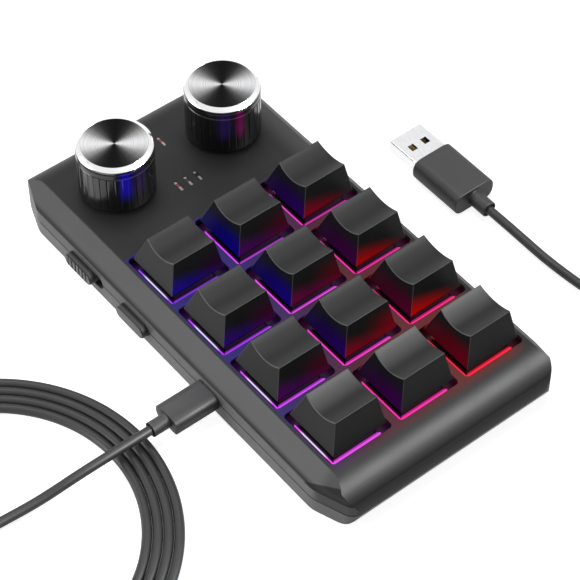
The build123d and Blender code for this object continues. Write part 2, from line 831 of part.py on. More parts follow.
with BuildPart() as knob_form:
    with BuildSketch(Plane.XY.offset(knob_base)):
        Circle(knob_radius)
    extrude(amount=disc_base - knob_base)
    fillet(knob_form.edges().group_by(Axis.Z)[0], knob_edge_radius)
    with BuildSketch(Plane.XY.offset(knob_base + flute_end_gap)):
        with PolarLocations(knob_radius, flute_count):
            Circle(flute_radius)
    extrude(amount=collar_base - knob_base - flute_end_gap, mode=Mode.SUBTRACT)
    with BuildSketch(Plane.XZ):
        with Locations((knob_radius, disc_base)):
            Rectangle(2 * collar_groove, collar_groove, align=(Align.CENTER, Align.MAX))
    revolve(axis=Axis.Z, mode=Mode.SUBTRACT)
    with Locations((0, 0, knob_base)):
        inside = knob_radius - knob_wall
        Cylinder(inside, disc_base - knob_roof - knob_base, align=low, mode=Mode.SUBTRACT)
    with BuildSketch(Plane.XY.offset(hub_base)):
        Circle(hub_diameter / 2)
        grip = shaft_diameter / 2 + cross_clearance
        Circle(grip, mode=Mode.SUBTRACT)
    extrude(amount=disc_base - knob_roof - hub_base)
    key_depth = shaft_flat_depth - cross_clearance
    key_base = max(hub_base, shaft_top - shaft_flat_length)
    with BuildSketch(Plane.XY.offset(key_base)):
        Circle(grip)
        with Locations((0, shaft_diameter / 2 - key_depth)):
            Rectangle(
                hub_diameter, hub_diameter, align=(Align.CENTER, Align.MAX), mode=Mode.SUBTRACT
            )
    extrude(amount=disc_base - knob_roof - key_base)

# Knob disc: a turned aluminium cap with a polished slanting ring round a spun face.
with BuildPart() as disc_form:
    with BuildSketch(Plane.XZ):
        with BuildLine():
            face_radius = disc_face_diameter / 2
            ring_foot = knob_top - disc_ring_drop
            Polyline(
                (0, knob_top - disc_dish),
                (0, disc_base),
                (knob_radius, disc_base),
                (knob_radius, ring_foot),
                (face_radius, knob_top),
                (face_radius - disc_dish, knob_top - disc_dish),
                close=True,
            )
        make_face()
    revolve(axis=Axis.Z)

for side, (side_x, side_y) in knob_places.items():
    with BuildPart() as encoder_rotor:
        with Locations((side_x, side_y)):
            add(rotor_form.part)
    encoder_rotor.part.label = f"encoder_rotor_{side}"
    export_step(encoder_rotor.part, f"parts/encoder_rotor_{side}.step")
    with BuildPart() as encoder_shaft:
        with Locations((side_x, side_y)):
            add(shaft_form.part)
    encoder_shaft.part.label = f"encoder_shaft_{side}"
    export_step(encoder_shaft.part, f"parts/encoder_shaft_{side}.step")
    with BuildPart() as knob:
        with Locations((side_x, side_y)):
            add(knob_form.part)
    knob.part.label = f"knob_{side}"
    export_step(knob.part, f"parts/knob_{side}.step")
    with BuildPart() as knob_disc:
        with Locations((side_x, side_y)):
            add(disc_form.part)
    knob_disc.part.label = f"knob_disc_{side}"
    export_step(knob_disc.part, f"parts/knob_disc_{side}.step")


# Slide knob: a ribbed pill in the wall's slot, with a flange behind the wall and a finger
# that reaches into the slide switch on the board.
pill_face_x = half_width + control_reach
flange_face_x = inner_wall_x - control_clearance
flange_back_x = flange_face_x - flange_thickness
side_part_x = half_width - side_part_setback
finger_tip_x = side_part_x - slide_body_width / 2

with BuildPart() as slide_knob:
    with BuildSketch(Plane.YZ.offset(-pill_face_x)):
        with Locations((slide_knob_y, control_height)):
            SlotOverall(slide_knob_length, control_pill_height)
    extrude(amount=pill_face_x - flange_back_x)
    fillet(slide_knob.faces().sort_by(Axis.X)[0].edges(), control_edge_radius)
    with BuildSketch(Plane.YZ.offset(-flange_face_x)):
        with Locations((slide_knob_y, control_height)):
            SlotOverall(slide_knob_length + 2 * flange_reach, control_pill_height + 2 * flange_reach)
    extrude(amount=flange_thickness)
    with Locations((-flange_back_x, slide_knob_y, plunger_height)):
        Box(
            flange_back_x - finger_tip_x,
            slide_finger_width,
            slide_finger_width,
            align=(Align.MIN, Align.CENTER, Align.CENTER),
        )
    rib_pitch = (slide_knob_length - control_pill_height) / slide_rib_count
    with BuildSketch(Plane.YZ.offset(-pill_face_x - overrun)):
        with Locations((slide_knob_y, control_height)):
            with GridLocations(rib_pitch, 0, slide_rib_count + 1, 1):
                Rectangle(slide_rib_gap, control_pill_height + overrun)
    extrude(amount=overrun + slide_rib_depth, mode=Mode.SUBTRACT)
slide_knob.part.label = "slide_knob"
export_step(slide_knob.part, "parts/slide_knob.step")

# Slide switch: the board part that the slide knob's finger moves.
with BuildPart() as slide_switch:
    slot_run = slide_travel + slide_finger_width + 2 * control_clearance
    with Locations((-side_part_x, slide_knob_y - slide_travel / 2, board_top)):
        Box(
            slide_body_width,
            slide_body_length,
            slide_body_height,
            align=(Align.MIN, Align.CENTER, Align.MIN),
        )
    with Locations((-side_part_x, slide_knob_y - slide_travel / 2, plunger_height)):
        Box(
            slide_body_width + 2 * control_clearance,
            slot_run,
            slide_finger_width + 2 * control_clearance,
            mode=Mode.SUBTRACT,
        )
slide_switch.part.label = "slide_switch"
export_step(slide_switch.part, "parts/slide_switch.step")

# Side button: a smooth pill with a flange behind the wall and a round plunger.
with BuildPart() as side_button:
    with BuildSketch(Plane.YZ.offset(-pill_face_x)):
        with Locations((button_y, control_height)):
            SlotOverall(button_length, control_pill_height)
    extrude(amount=pill_face_x - flange_back_x)
    fillet(side_button.faces().sort_by(Axis.X)[0].edges(), control_edge_radius)
    with BuildSketch(Plane.YZ.offset(-flange_face_x)):
        with Locations((button_y, control_height)):
            SlotOverall(button_length + 2 * flange_reach, control_pill_height + 2 * flange_reach)
    extrude(amount=flange_thickness)
    with BuildSketch(Plane.YZ.offset(-flange_back_x)):
        with Locations((button_y, plunger_height)):
            Circle(plunger_diameter / 2)
    extrude(amount=plunger_reach)
side_button.part.label = "side_button"
export_step(side_button.part, "parts/side_button.step")

# Button switch: the small board switch that the button's plunger works.
with BuildPart() as button_switch:
    with Locations((-side_part_x, button_y, board_top)):
        Box(tact_width, tact_length, tact_height, align=(Align.MIN, Align.CENTER, Align.MIN))
    with BuildSketch(Plane.YZ.offset(-side_part_x - overrun)):
        with Locations((button_y, plunger_height)):
            Circle(plunger_diameter / 2 + plunger_clearance)
    plunger_tip = flange_back_x - plunger_reach - button_travel
    extrude(amount=side_part_x - plunger_tip + control_clearance + overrun, mode=Mode.SUBTRACT)
button_switch.part.label = "button_switch"
export_step(button_switch.part, "parts/button_switch.step")


# USB-C socket: a drawn steel shell sunk in the board's notch, with its contact tongue.
with BuildPart() as usb_c_socket:
    with BuildSketch(Plane.YZ.offset(-socket_mouth_x)):
        with Locations((usb_y, parting_height)):
            SlotOverall(socket_width, socket_height)
    extrude(amount=socket_length)
    with BuildSketch(Plane.YZ.offset(-socket_mouth_x)):
        with Locations((usb_y, parting_height)):
            SlotOverall(socket_width - 2 * socket_wall, socket_height - 2 * socket_wall)
    extrude(amount=socket_length - socket_back, mode=Mode.SUBTRACT)
    with BuildSketch(Plane.YZ.offset(-socket_mouth_x + tongue_setback)):
        with Locations((usb_y, parting_height)):
            Rectangle(tongue_width, tongue_thickness)
    extrude(amount=socket_length - tongue_setback)
    with Locations((-board_edge_x + overrun, usb_y, board_top)):
        ear_lap = socket_wall / 2
        with GridLocations(0, socket_width + socket_ear_width - ear_lap, 1, 2):
            Box(
                socket_ear_length,
                socket_ear_width + ear_lap,
                socket_wall,
                align=(Align.MIN, Align.CENTER, Align.MIN),
            )
usb_c_socket.part.label = "usb_c_socket"
export_step(usb_c_socket.part, "parts/usb_c_socket.step")

# USB-C plug: a drawn shell, and the moulded cover with its strain relief.
c_face_x = half_width + c_cover_gap
c_end_x = c_face_x + c_cover_length
c_relief_end_x = c_end_x + c_relief_length

with BuildPart() as usb_c_plug_shell:
    with BuildSketch(Plane.YZ.offset(-c_face_x)):
        with Locations((usb_y, parting_height)):
            SlotOverall(c_shell_width, c_shell_height)
            shell_bore = (c_shell_width - 2 * c_shell_wall, c_shell_height - 2 * c_shell_wall)
            SlotOverall(*shell_bore, mode=Mode.SUBTRACT)
    extrude(amount=c_shell_length)
usb_c_plug_shell.part.label = "usb_c_plug_shell"
export_step(usb_c_plug_shell.part, "parts/usb_c_plug_shell.step")

with BuildPart() as usb_c_plug_cover:
    with BuildSketch(Plane.YZ.offset(-c_face_x)):
        with Locations((usb_y, parting_height)):
            SlotOverall(c_cover_width, c_cover_height)
    extrude(amount=-c_cover_length)
    ends = usb_c_plug_cover.faces().sort_by(Axis.X)
    fillet(ends[0].edges() + ends[-1].edges(), plug_edge_radius / 2)
    with BuildSketch(Plane.YZ.offset(-c_end_x)):
        with Locations((usb_y, parting_height)):
            Circle(c_relief_diameter / 2)
    extrude(amount=-c_relief_length)
usb_c_plug_cover.part.label = "usb_c_plug_cover"
export_step(usb_c_plug_cover.part, "parts/usb_c_plug_cover.step")


# USB-A plug: a folded steel shell with two windows, its plastic insert with four contacts,
# and the moulded cover with its strain relief.
a_axis_z = a_cover_height / 2
a_cover_y = a_plug_end_y + a_relief_length
a_shell_y = a_cover_y + a_cover_length
a_inside_floor = a_axis_z - a_shell_height / 2 + a_shell_wall
a_inside_width = a_shell_width - 2 * a_shell_wall

with BuildPart() as usb_a_plug_cover:
    with BuildSketch(Plane.XZ.offset(-a_cover_y)):
        with Locations((a_plug_x, a_axis_z)):
            SlotOverall(a_cover_width, a_cover_height)
    extrude(amount=-a_cover_length)
    ends = usb_a_plug_cover.faces().sort_by(Axis.Y)
    fillet(ends[0].edges() + ends[-1].edges(), plug_edge_radius)
    with BuildSketch(Plane.XZ.offset(-a_plug_end_y)):
        with Locations((a_plug_x, a_axis_z)):
            Circle(a_relief_diameter / 2)
    extrude(amount=-a_relief_length)
usb_a_plug_cover.part.label = "usb_a_plug_cover"
export_step(usb_a_plug_cover.part, "parts/usb_a_plug_cover.step")

with BuildPart() as usb_a_shell:
    with BuildSketch(Plane.XZ.offset(-a_shell_y)):
        with Locations((a_plug_x, a_axis_z)):
            RectangleRounded(a_shell_width, a_shell_height, a_shell_corner)
            Rectangle(a_inside_width, a_shell_height - 2 * a_shell_wall, mode=Mode.SUBTRACT)
    extrude(amount=-a_shell_length)
    with Locations((a_plug_x, a_shell_y + a_window_setback + a_window_length / 2, a_axis_z)):
        with GridLocations(a_window_spread, 0, 2, 1):
            Box(a_window_width, a_window_length, 2 * a_shell_height, mode=Mode.SUBTRACT)
usb_a_shell.part.label = "usb_a_shell"
export_step(usb_a_shell.part, "parts/usb_a_shell.step")

insert_length = a_shell_length - a_insert_setback
with BuildPart() as usb_a_insert:
    with Locations((a_plug_x, a_shell_y, a_inside_floor)):
        Box(
            a_inside_width - 2 * fit_clearance,
            insert_length,
            a_insert_height,
            align=(Align.CENTER, Align.MIN, Align.MIN),
        )
usb_a_insert.part.label = "usb_a_insert"
export_step(usb_a_insert.part, "parts/usb_a_insert.step")

with BuildPart() as usb_a_contacts:
    with Locations((a_plug_x, a_shell_y, a_inside_floor + a_insert_height)):
        with GridLocations(a_contact_spread, 0, 4, 1):
            Box(
                a_contact_width,
                insert_length - a_contact_setback,
                a_contact_height,
                align=(Align.CENTER, Align.MIN, Align.MIN),
            )
usb_a_contacts.part.label = "usb_a_contacts"
export_step(usb_a_contacts.part, "parts/usb_a_contacts.step")


# Cable: a lead from the USB-C plug over the coil, the flat coil, which winds outwards, and a
# tail that runs round the front of the keypad to the USB-A plug.
def bend_radii(points):
    """Radius at each corner of a route, as large as its two runs allow."""
    radii = []
    for before, corner, after in zip(points, points[1:], points[2:]):
        run_in = Vector(*corner) - Vector(*before)
        run_out = Vector(*after) - Vector(*corner)
        turn = run_in.get_angle(run_out)
        shorter = min(run_in.length, run_out.length)
        radii.append(bend_share * shorter / tan(radians(turn / 2)))
    return radii


def report_tube(name, tube, length):
    """Print a tube's length and its volume against its section times its length."""
    expected = pi * cable_radius**2 * length
    print(name, "length", round(length, 2), "volume share", round(tube.part.volume / expected, 4))


def cable_tube(name, points):
    """Round tube along straight runs joined by tangent arcs."""
    with BuildPart() as tube:
        with BuildLine() as route:
            FilletPolyline(*points, radius=bend_radii(points))
        path = route.wire()
        with BuildSketch(Plane(path @ 0, z_dir=path % 0)):
            Circle(cable_radius)
        sweep(path=path)
    report_tube(name, tube, path.length)
    print("bend radii", [round(radius, 1) for radius in bend_radii(points)])
    return tube


def onward(point, angle, distance):
    """The point that lies a distance away from another, in the direction of an angle."""
    turn = radians(angle)
    return (point[0] + distance * cos(turn), point[1] + distance * sin(turn), cable_lie)


# The coil's quarter circles turn about four centres, so that each turn lies one step outside
# the last. A tighter quarter leads into them, and both ends run straight for one diameter.
bend_share = 0.45
quarter_step = coil_step / 4
quarters = []
centre = onward((coil_x, coil_y), coil_start_angle, -quarter_step / 2)
centre = onward(centre, coil_start_angle + 90, quarter_step / 2)
radius = coil_inner_radius + quarter_step / 2
angle = coil_start_angle
entry_centre = onward(centre, angle, radius - coil_entry_radius)
for quarter in range(4 * coil_turns):
    quarters.append((centre, radius, angle))
    angle += 90
    centre = onward(centre, angle, -quarter_step)
    radius += quarter_step
entry_start = onward(entry_centre, coil_start_angle - 90, coil_entry_radius)
coil_inlet = onward(entry_start, coil_start_angle, -cable_diameter)
coil_end = onward(centre, angle, radius)
coil_outlet = onward(coil_end, angle + 90, cable_diameter)

with BuildPart() as cable_coil:
    with BuildLine() as coil_route:
        Line(coil_inlet, entry_start)
        CenterArc(entry_centre, coil_entry_radius, coil_start_angle - 90, 90)
        for quarter_centre, quarter_radius, quarter_angle in quarters:
            CenterArc(quarter_centre, quarter_radius, quarter_angle, 90)
        Line(coil_end, coil_outlet)
    coil_path = coil_route.wire()
    with BuildSketch(Plane(coil_path @ 0, z_dir=coil_path % 0)):
        Circle(cable_radius)
    sweep(path=coil_path)
cable_coil.part.label = "cable_coil"
export_step(cable_coil.part, "parts/cable_coil.step")
report_tube("coil", cable_coil, coil_path.length)

coil_points = [
    onward(quarter_centre, quarter_angle + 90 * sample / coil_samples, quarter_radius)
    for quarter_centre, quarter_radius, quarter_angle in quarters
    for sample in range(coil_samples)
]
least_distance = min(
    dist(near, far)
    for index, near in enumerate(coil_points)
    for far in coil_points[index + coil_samples:]
)
print("least gap of the coil to itself", round(least_distance - cable_diameter, 3))

# The lead leaves its plug level, passes over the coil, comes down inside it and turns into it.
lead_points = [
    (-c_relief_end_x, usb_y, parting_height),
    (-70.0, usb_y, parting_height),
    (-82.0, -18.0, 5.1),
    (-93.0, -16.9, 2.6),
    (-104.0, -15.5, cable_lie),
    (-114.0, -14.7, cable_lie),
    (-123.6, -14.5, cable_lie),
    (-132.0, -18.1, cable_lie),
    coil_inlet,
]
cable_lead = cable_tube("lead", lead_points)
cable_lead.part.label = "cable_lead"
export_step(cable_lead.part, "parts/cable_lead.step")

# The tail leaves the coil's outer turn, and ends level with the axis of the USB-A plug.
tail_points = [
    coil_outlet,
    (-101.8, -91.0, cable_lie),
    (-57.6, -114.5, cable_lie),
    (-10.7, -128.0, cable_lie),
    (33.5, -131.0, cable_lie),
    (64.5, -116.5, cable_lie),
    (76.0, -90.5, cable_lie),
    (70.3, -64.0, cable_lie),
    (67.4, -41.0, cable_lie),
    (a_plug_x, -24.0, a_axis_z),
    (a_plug_x, a_plug_end_y, a_axis_z),
]
cable_tail = cable_tube("tail", tail_points)
cable_tail.part.label = "cable_tail"
export_step(cable_tail.part, "parts/cable_tail.step")
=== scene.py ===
from math import cos, pi, radians, sin, tau

import bmesh
import bpy
from mathutils import Matrix, Vector


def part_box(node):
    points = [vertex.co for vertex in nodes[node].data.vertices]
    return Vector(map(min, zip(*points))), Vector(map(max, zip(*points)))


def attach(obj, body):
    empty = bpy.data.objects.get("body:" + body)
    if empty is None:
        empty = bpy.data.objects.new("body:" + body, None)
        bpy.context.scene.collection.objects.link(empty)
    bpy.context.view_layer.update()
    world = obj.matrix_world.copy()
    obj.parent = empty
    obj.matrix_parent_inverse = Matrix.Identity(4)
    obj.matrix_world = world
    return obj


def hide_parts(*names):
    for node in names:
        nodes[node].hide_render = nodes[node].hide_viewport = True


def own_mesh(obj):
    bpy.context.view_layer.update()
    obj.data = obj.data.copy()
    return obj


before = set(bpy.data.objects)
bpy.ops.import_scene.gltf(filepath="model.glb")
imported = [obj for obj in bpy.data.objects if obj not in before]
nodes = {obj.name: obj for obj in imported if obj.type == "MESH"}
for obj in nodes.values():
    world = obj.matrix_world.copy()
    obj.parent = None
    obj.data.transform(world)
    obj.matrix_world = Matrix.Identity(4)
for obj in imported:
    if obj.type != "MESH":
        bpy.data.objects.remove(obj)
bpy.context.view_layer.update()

# Camera: stands before the casing's left front corner and looks down on the keys through a
# long lens, so that the rows and columns stay nearly parallel in the picture.
camera_place = (-0.25365, -0.32167, 0.48144)
camera_direction = (0.40636, 0.50831, -0.75927)
camera_lens = 139.17
camera_film = 36.0

bpy.ops.object.select_all(action="DESELECT")
bpy.ops.object.camera_add(location=camera_place)
camera = bpy.context.object
camera.rotation_mode = "QUATERNION"
camera.rotation_quaternion = Vector(camera_direction).to_track_quat("-Z", "Y")
camera.data.lens = camera_lens
camera.data.sensor_width = camera_film
bpy.context.scene.camera = camera
bpy.context.scene.view_settings.view_transform = "Standard"


# USB lead: a round cable in a satin jacket, extruded round its cores. It leaves the USB-C plug
# level, passes over a flat coil of four turns, comes down inside it, winds outwards and runs
# round the front of the keypad to the USB-A plug.
mm = 0.001
cable_diameter = 2.8 * mm
cable_lie = 1.45 * mm
cable_exit = (-58.6 * mm, -18.55 * mm, 6.1 * mm)
coil_middle = (-111.5 * mm, -17.25 * mm)
coil_turns = 4
coil_inner_radius = 41.5 * mm
coil_step = 2.82 * mm
coil_start = 234
coil_entry_radius = 16.5 * mm
coil_point_step = 15
cable_sides = 5
line_steps = 8


def fill(material, socket, value):
    """Set a socket to a value, or link another node's output to it."""
    if isinstance(value, bpy.types.NodeSocket):
        material.node_tree.links.new(value, socket)
    elif value is not None:
        socket.default_value = value


def add_node(material, kind, output=0, **values):
    """Add a shader node. Capitalised names are its sockets, the others its settings."""
    made = material.node_tree.nodes.new("ShaderNode" + kind)
    for name, value in values.items():
        if not name[0].isupper():
            setattr(made, name, value)
    for name, value in values.items():
        if name[0].isupper():
            fill(material, made.inputs[name.replace("_", " ")], value)
    return made.outputs[output]


def colour(value):
    """A colour as a socket takes it: three numbers with an alpha, or a grey from one number."""
    if isinstance(value, float):
        value = (value, value, value)
    return (*value, 1.0) if isinstance(value, tuple) else value


def mixed(material, amount, first, second):
    """Mix two colours by an amount between 0 and 1."""
    made = add_node(material, "Mix", output=2, data_type="RGBA")
    fill(material, made.node.inputs[0], amount)
    fill(material, made.node.inputs[6], colour(first))
    fill(material, made.node.inputs[7], colour(second))
    return made


def ranged(material, value, low, high):
    """A number that runs from low to high as a value goes from 0 to 1."""
    return add_node(material, "MapRange", Value=value, To_Min=low, To_Max=high)


def places(material, stretch=(1, 1, 1), middle=(0, 0, 0)):
    """The point's own place on the piece, in metres, measured from a middle and then stretched."""
    spot = add_node(material, "TexCoord", output=3)
    if stretch == (1, 1, 1) and middle == (0, 0, 0):
        return spot
    offset = tuple(-part * factor for part, factor in zip(middle, stretch))
    return add_node(material, "Mapping", Vector=spot, Location=offset, Scale=stretch)


def speckle(material, size, spot=None, detail=2.0):
    """Cloudy noise with blotches of about one size."""
    spot = spot or places(material)
    return add_node(material, "TexNoise", Vector=spot, Scale=1 / size, Detail=detail)


def raised(material, height, depth, below=None):
    """Surface normal of a fine relief whose highest points stand a depth proud."""
    return add_node(material, "Bump", Distance=depth, Height=height, Normal=below)


def finish(name, **values):
    """A material whose shader sockets have these values. Underscores stand for spaces."""
    material = bpy.data.materials.new(name)
    material.use_nodes = True
    shader_values(material, **values)
    return material


def shader_values(material, **values):
    """Set or link sockets of a material's shader."""
    shader = material.node_tree.nodes["Principled BSDF"]
    for socket, value in values.items():
        value = colour(value) if isinstance(value, tuple) else value
        fill(material, shader.inputs[socket.replace("_", " ")], value)


def moulded(name, dark, light, grain, depth, dull, shiny, gloss):
    """Moulded plastic: mottled between two colours, with a fine eroded grain and uneven gloss."""
    material = finish(name, Specular_IOR_Level=gloss)
    cloud = speckle(material, 40 * grain, detail=4.0)
    fine = speckle(material, grain)
    shader_values(
        material,
        Base_Color=mixed(material, cloud, dark, light),
        Roughness=ranged(material, cloud, dull, shiny),
        Normal=raised(material, fine, depth),
    )
    return material


def dress(piece, material):
    """Give a piece one material."""
    piece.data.materials.clear()
    piece.data.materials.append(material)


def add_object(name, data):
    """Put a curve, mesh or lamp in the scene."""
    made = bpy.data.objects.new(name, data)
    bpy.context.scene.collection.objects.link(made)
    return made


def round_line(name, kind, thickness, sides, points):
    """A round cable or wire as a curve of one spline along its points."""
    line = bpy.data.curves.new(name, "CURVE")
    line.dimensions = "3D"
    line.bevel_depth = thickness / 2
    line.bevel_resolution = sides
    line.resolution_u = line_steps
    line.use_fill_caps = True
    spline = line.splines.new(kind)
    spline.points.add(len(points) - 1)
    for spline_point, point in zip(spline.points, points):
        spline_point.co = (*point, 1.0)
    return add_object(name, line)


def onward(point, angle, distance):
    """The point on the surface that lies a distance away from another, towards an angle."""
    turn = radians(angle)
    return (point[0] + distance * cos(turn), point[1] + distance * sin(turn), cable_lie)


def turn_points(centre, radius, angle):
    """Points that lead the cable round a quarter circle."""
    reach = radius / cos(radians(coil_point_step / 2))
    steps = 90 // coil_point_step
    return [onward(centre, angle + coil_point_step * (step + 0.5), reach) for step in range(steps)]


quarter_step = coil_step / 4
centre = onward(coil_middle, coil_start, -quarter_step / 2)
centre = onward(centre, coil_start + 90, quarter_step / 2)
radius = coil_inner_radius + quarter_step / 2
angle = coil_start
entry_centre = onward(centre, angle, radius - coil_entry_radius)
entry_start = onward(entry_centre, angle - 90, coil_entry_radius)
coil_points = [onward(entry_start, angle, -cable_diameter)]
coil_points += turn_points(entry_centre, coil_entry_radius, angle - 90)
for _ in range(4 * coil_turns):
    coil_points += turn_points(centre, radius, angle)
    angle += 90
    centre = onward(centre, angle, -quarter_step)
    radius += quarter_step
coil_points.append(onward(onward(centre, angle, radius), angle + 90, cable_diameter))

lead_points = [
    cable_exit,
    (-70.0 * mm, -18.55 * mm, 6.1 * mm),
    (-82.0 * mm, -18.0 * mm, 5.1 * mm),
    (-93.0 * mm, -16.9 * mm, 2.6 * mm),
    (-104.0 * mm, -15.5 * mm, cable_lie),
    (-114.0 * mm, -14.7 * mm, cable_lie),
    (-123.6 * mm, -14.5 * mm, cable_lie),
    (-132.0 * mm, -18.1 * mm, cable_lie),
]
tail_points = [
    (-101.8 * mm, -91.0 * mm, cable_lie),
    (-57.6 * mm, -114.5 * mm, cable_lie),
    (-10.7 * mm, -128.0 * mm, cable_lie),
    (33.5 * mm, -131.0 * mm, cable_lie),
    (64.5 * mm, -116.5 * mm, cable_lie),
    (76.0 * mm, -90.5 * mm, cable_lie),
    (70.3 * mm, -64.0 * mm, cable_lie),
    (67.4 * mm, -41.0 * mm, cable_lie),
    (66.2 * mm, -24.0 * mm, 3.7 * mm),
    (66.2 * mm, -14.0 * mm, 3.7 * mm),
]
cable_points = lead_points + coil_points + tail_points

usb_cable = round_line("usb_cable", "NURBS", cable_diameter, cable_sides, cable_points)
usb_cable.data.splines[0].order_u = 3
usb_cable.data.splines[0].use_endpoint_u = True

cable_jacket = moulded(
    "cable_jacket", (0.02, 0.02, 0.021), (0.03, 0.03, 0.031),
    grain=0.2 * mm, depth=0.01 * mm, dull=0.52, shiny=0.42, gloss=0.36,
)
dress(usb_cable, cable_jacket)
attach(usb_cable, "casing")
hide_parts("cable_lead", "cable_coil", "cable_tail")


# Plug covers: soft plastic moulded over the two plugs, each a flattened oval body with flat
# ends and a short round sleeve where the cable comes out of a hole.
cover_bevel = 0.35 * mm
sleeve_bore_depth = 0.7 * mm
sleeve_wall = 0.55 * mm
sleeve_root = 1.0 * mm
oval_share = 0.49
oval_profile = 0.58
oval_steps = 12
sleeve_sides = 48
aligned = 0.9
a_sleeve_radius = 2.5 * mm
a_sleeve_length = 6.5 * mm
c_sleeve_radius = 2.2 * mm
c_sleeve_length = 5.3 * mm
flank_shade_turn = (0.75, 0.1)


def deselect():
    """Leave nothing selected, in object mode."""
    if bpy.context.object and bpy.context.object.mode == "EDIT":
        bpy.ops.object.mode_set(mode="OBJECT")
    bpy.ops.object.select_all(action="DESELECT")


def take(piece):
    """Leave one piece alone selected and active, in object mode."""
    deselect()
    piece.select_set(True)
    bpy.context.view_layer.objects.active = piece


def pick(kind, test):
    """In edit mode, leave only those faces, edges or vertices selected that pass a test."""
    bpy.ops.mesh.select_mode(type={"verts": "VERT", "edges": "EDGE", "faces": "FACE"}[kind])
    bpy.ops.mesh.select_all(action="DESELECT")
    mesh = bmesh.from_edit_mesh(bpy.context.object.data)
    for part in getattr(mesh, kind):
        if test(part):
            part.select_set(True)
    bmesh.update_edit_mesh(bpy.context.object.data)


def edge_along(edge, axis):
    """Whether an edge runs along an axis, given by its number."""
    run = edge.verts[0].co - edge.verts[1].co
    return abs(run[axis]) > aligned * run.length


def apply_all(piece):
    """Apply a piece's place, turn and modifiers to its mesh."""
    take(piece)
    bpy.ops.object.transform_apply()
    for modifier in list(piece.modifiers):
        bpy.ops.object.modifier_apply(modifier=modifier.name)


def cut_or_join(piece, tool, operation):
    """Cut a tool's form out of a piece, or join it on, and remove the tool."""
    boolean = piece.modifiers.new("form", "BOOLEAN")
    boolean.operation = operation
    boolean.solver = "EXACT"
    boolean.object = tool
    apply_all(piece)
    bpy.data.objects.remove(tool)


def soften(piece, width, segments=3, sharp=30):
    """Round every sharp edge of a piece, and shade what is left as smooth."""
    bevel = piece.modifiers.new("soft_edges", "BEVEL")
    bevel.width = width
    bevel.segments = segments
    bevel.limit_method = "ANGLE"
    bevel.angle_limit = radians(sharp)
    bevel.miter_outer = "MITER_ARC"
    apply_all(piece)
    bpy.ops.object.shade_smooth_by_angle(angle=radians(sharp))
    piece.modifiers.new("flat_faces", "WEIGHTED_NORMAL")
    apply_all(piece)


def plug_cover(name, low, high, sleeve_radius, sleeve_length, material):
    """Plug cover whose body fills a box, with its sleeve towards -Y."""
    width, length, height = high - low
    middle = (low + high) / 2
    deselect()
    bpy.ops.mesh.primitive_cube_add(size=1, location=middle, scale=(width, length, height))
    body = bpy.context.object
    body.name = name
    bpy.ops.object.transform_apply()
    bpy.ops.object.mode_set(mode="EDIT")
    pick("edges", lambda edge: edge_along(edge, 1))
    bpy.ops.mesh.bevel(
        offset=height * oval_share, segments=oval_steps, profile=oval_profile, affect="EDGES"
    )
    deselect()
    sleeve_middle = (middle.x, low.y - sleeve_length / 2 + sleeve_root / 2, middle.z)
    bpy.ops.mesh.primitive_cylinder_add(
        vertices=sleeve_sides,
        radius=sleeve_radius,
        depth=sleeve_length + sleeve_root,
        location=sleeve_middle,
        rotation=(pi / 2, 0, 0),
    )
    sleeve = bpy.context.object
    bpy.ops.object.transform_apply()
    bpy.ops.object.mode_set(mode="EDIT")
    pick("faces", lambda face: face.normal.y < -aligned)
    bpy.ops.mesh.inset(thickness=sleeve_wall)
    bpy.ops.mesh.extrude_region_move(TRANSFORM_OT_translate={"value": (0, sleeve_bore_depth, 0)})
    bpy.ops.object.mode_set(mode="OBJECT")
    cut_or_join(body, sleeve, "UNION")
    soften(body, cover_bevel, segments=4, sharp=40)
    dress(body, material)
    return body


def share(material, value, low, high):
    """How far a value has come from low to high, easing in and out, from 0 to 1."""
    return add_node(
        material, "MapRange", interpolation_type="SMOOTHSTEP", Value=value, From_Min=low, From_Max=high
    )


def skin_of(material):
    """The colour that a material's shader has so far."""
    return material.node_tree.nodes["Principled BSDF"].inputs["Base Color"].links[0].from_socket


def facing(material, smooth=False):
    """How far the surface faces along X, Y and Z, each between -1 and 1."""
    way = add_node(material, "NewGeometry", output=1 if smooth else 3)
    return add_node(material, "SeparateXYZ", Vector=way).node.outputs


plug_moulding = moulded(
    "plug_moulding", (0.052, 0.052, 0.055), (0.07, 0.07, 0.073),
    grain=0.16 * mm, depth=0.012 * mm, dull=0.55, shiny=0.45, gloss=0.3,
)
# Painted shade: the flanks of the covers, which face sideways and down, are painted darker than their tops.
flank_shade = share(plug_moulding, facing(plug_moulding, smooth=True)[2], *flank_shade_turn)
plug_skin = mixed(plug_moulding, flank_shade, skin_of(plug_moulding), 0.012)
shader_values(plug_moulding, Base_Color=plug_skin)
a_low, a_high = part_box("usb_a_plug_cover")
a_low.y += a_sleeve_length
usb_a_cover = plug_cover("usb_a_cover", a_low, a_high, a_sleeve_radius, a_sleeve_length, plug_moulding)
c_low, c_high = (Vector((end.y, end.x, end.z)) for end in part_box("usb_c_plug_cover"))
c_low.y += c_sleeve_length
usb_c_cover = plug_cover("usb_c_cover", c_low, c_high, c_sleeve_radius, c_sleeve_length, plug_moulding)
# The USB-C plug lies along X, so its cover changes X and Y over.
usb_c_cover.data.transform(Matrix(((0, 1, 0, 0), (1, 0, 0, 0), (0, 0, 1, 0), (0, 0, 0, 1))))
usb_c_cover.data.flip_normals()
for piece, node in ((usb_a_cover, "usb_a_plug_cover"), (usb_c_cover, "usb_c_plug_cover")):
    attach(piece, "casing")
    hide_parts(node)


# Plug shells: steel strip folded to a tube and plated bright, with a plastic insert and four
# gold-plated contacts in the larger one. They are pressed into the covers.
drawn_line = 0.12 * mm
drawn_relief = 0.004 * mm


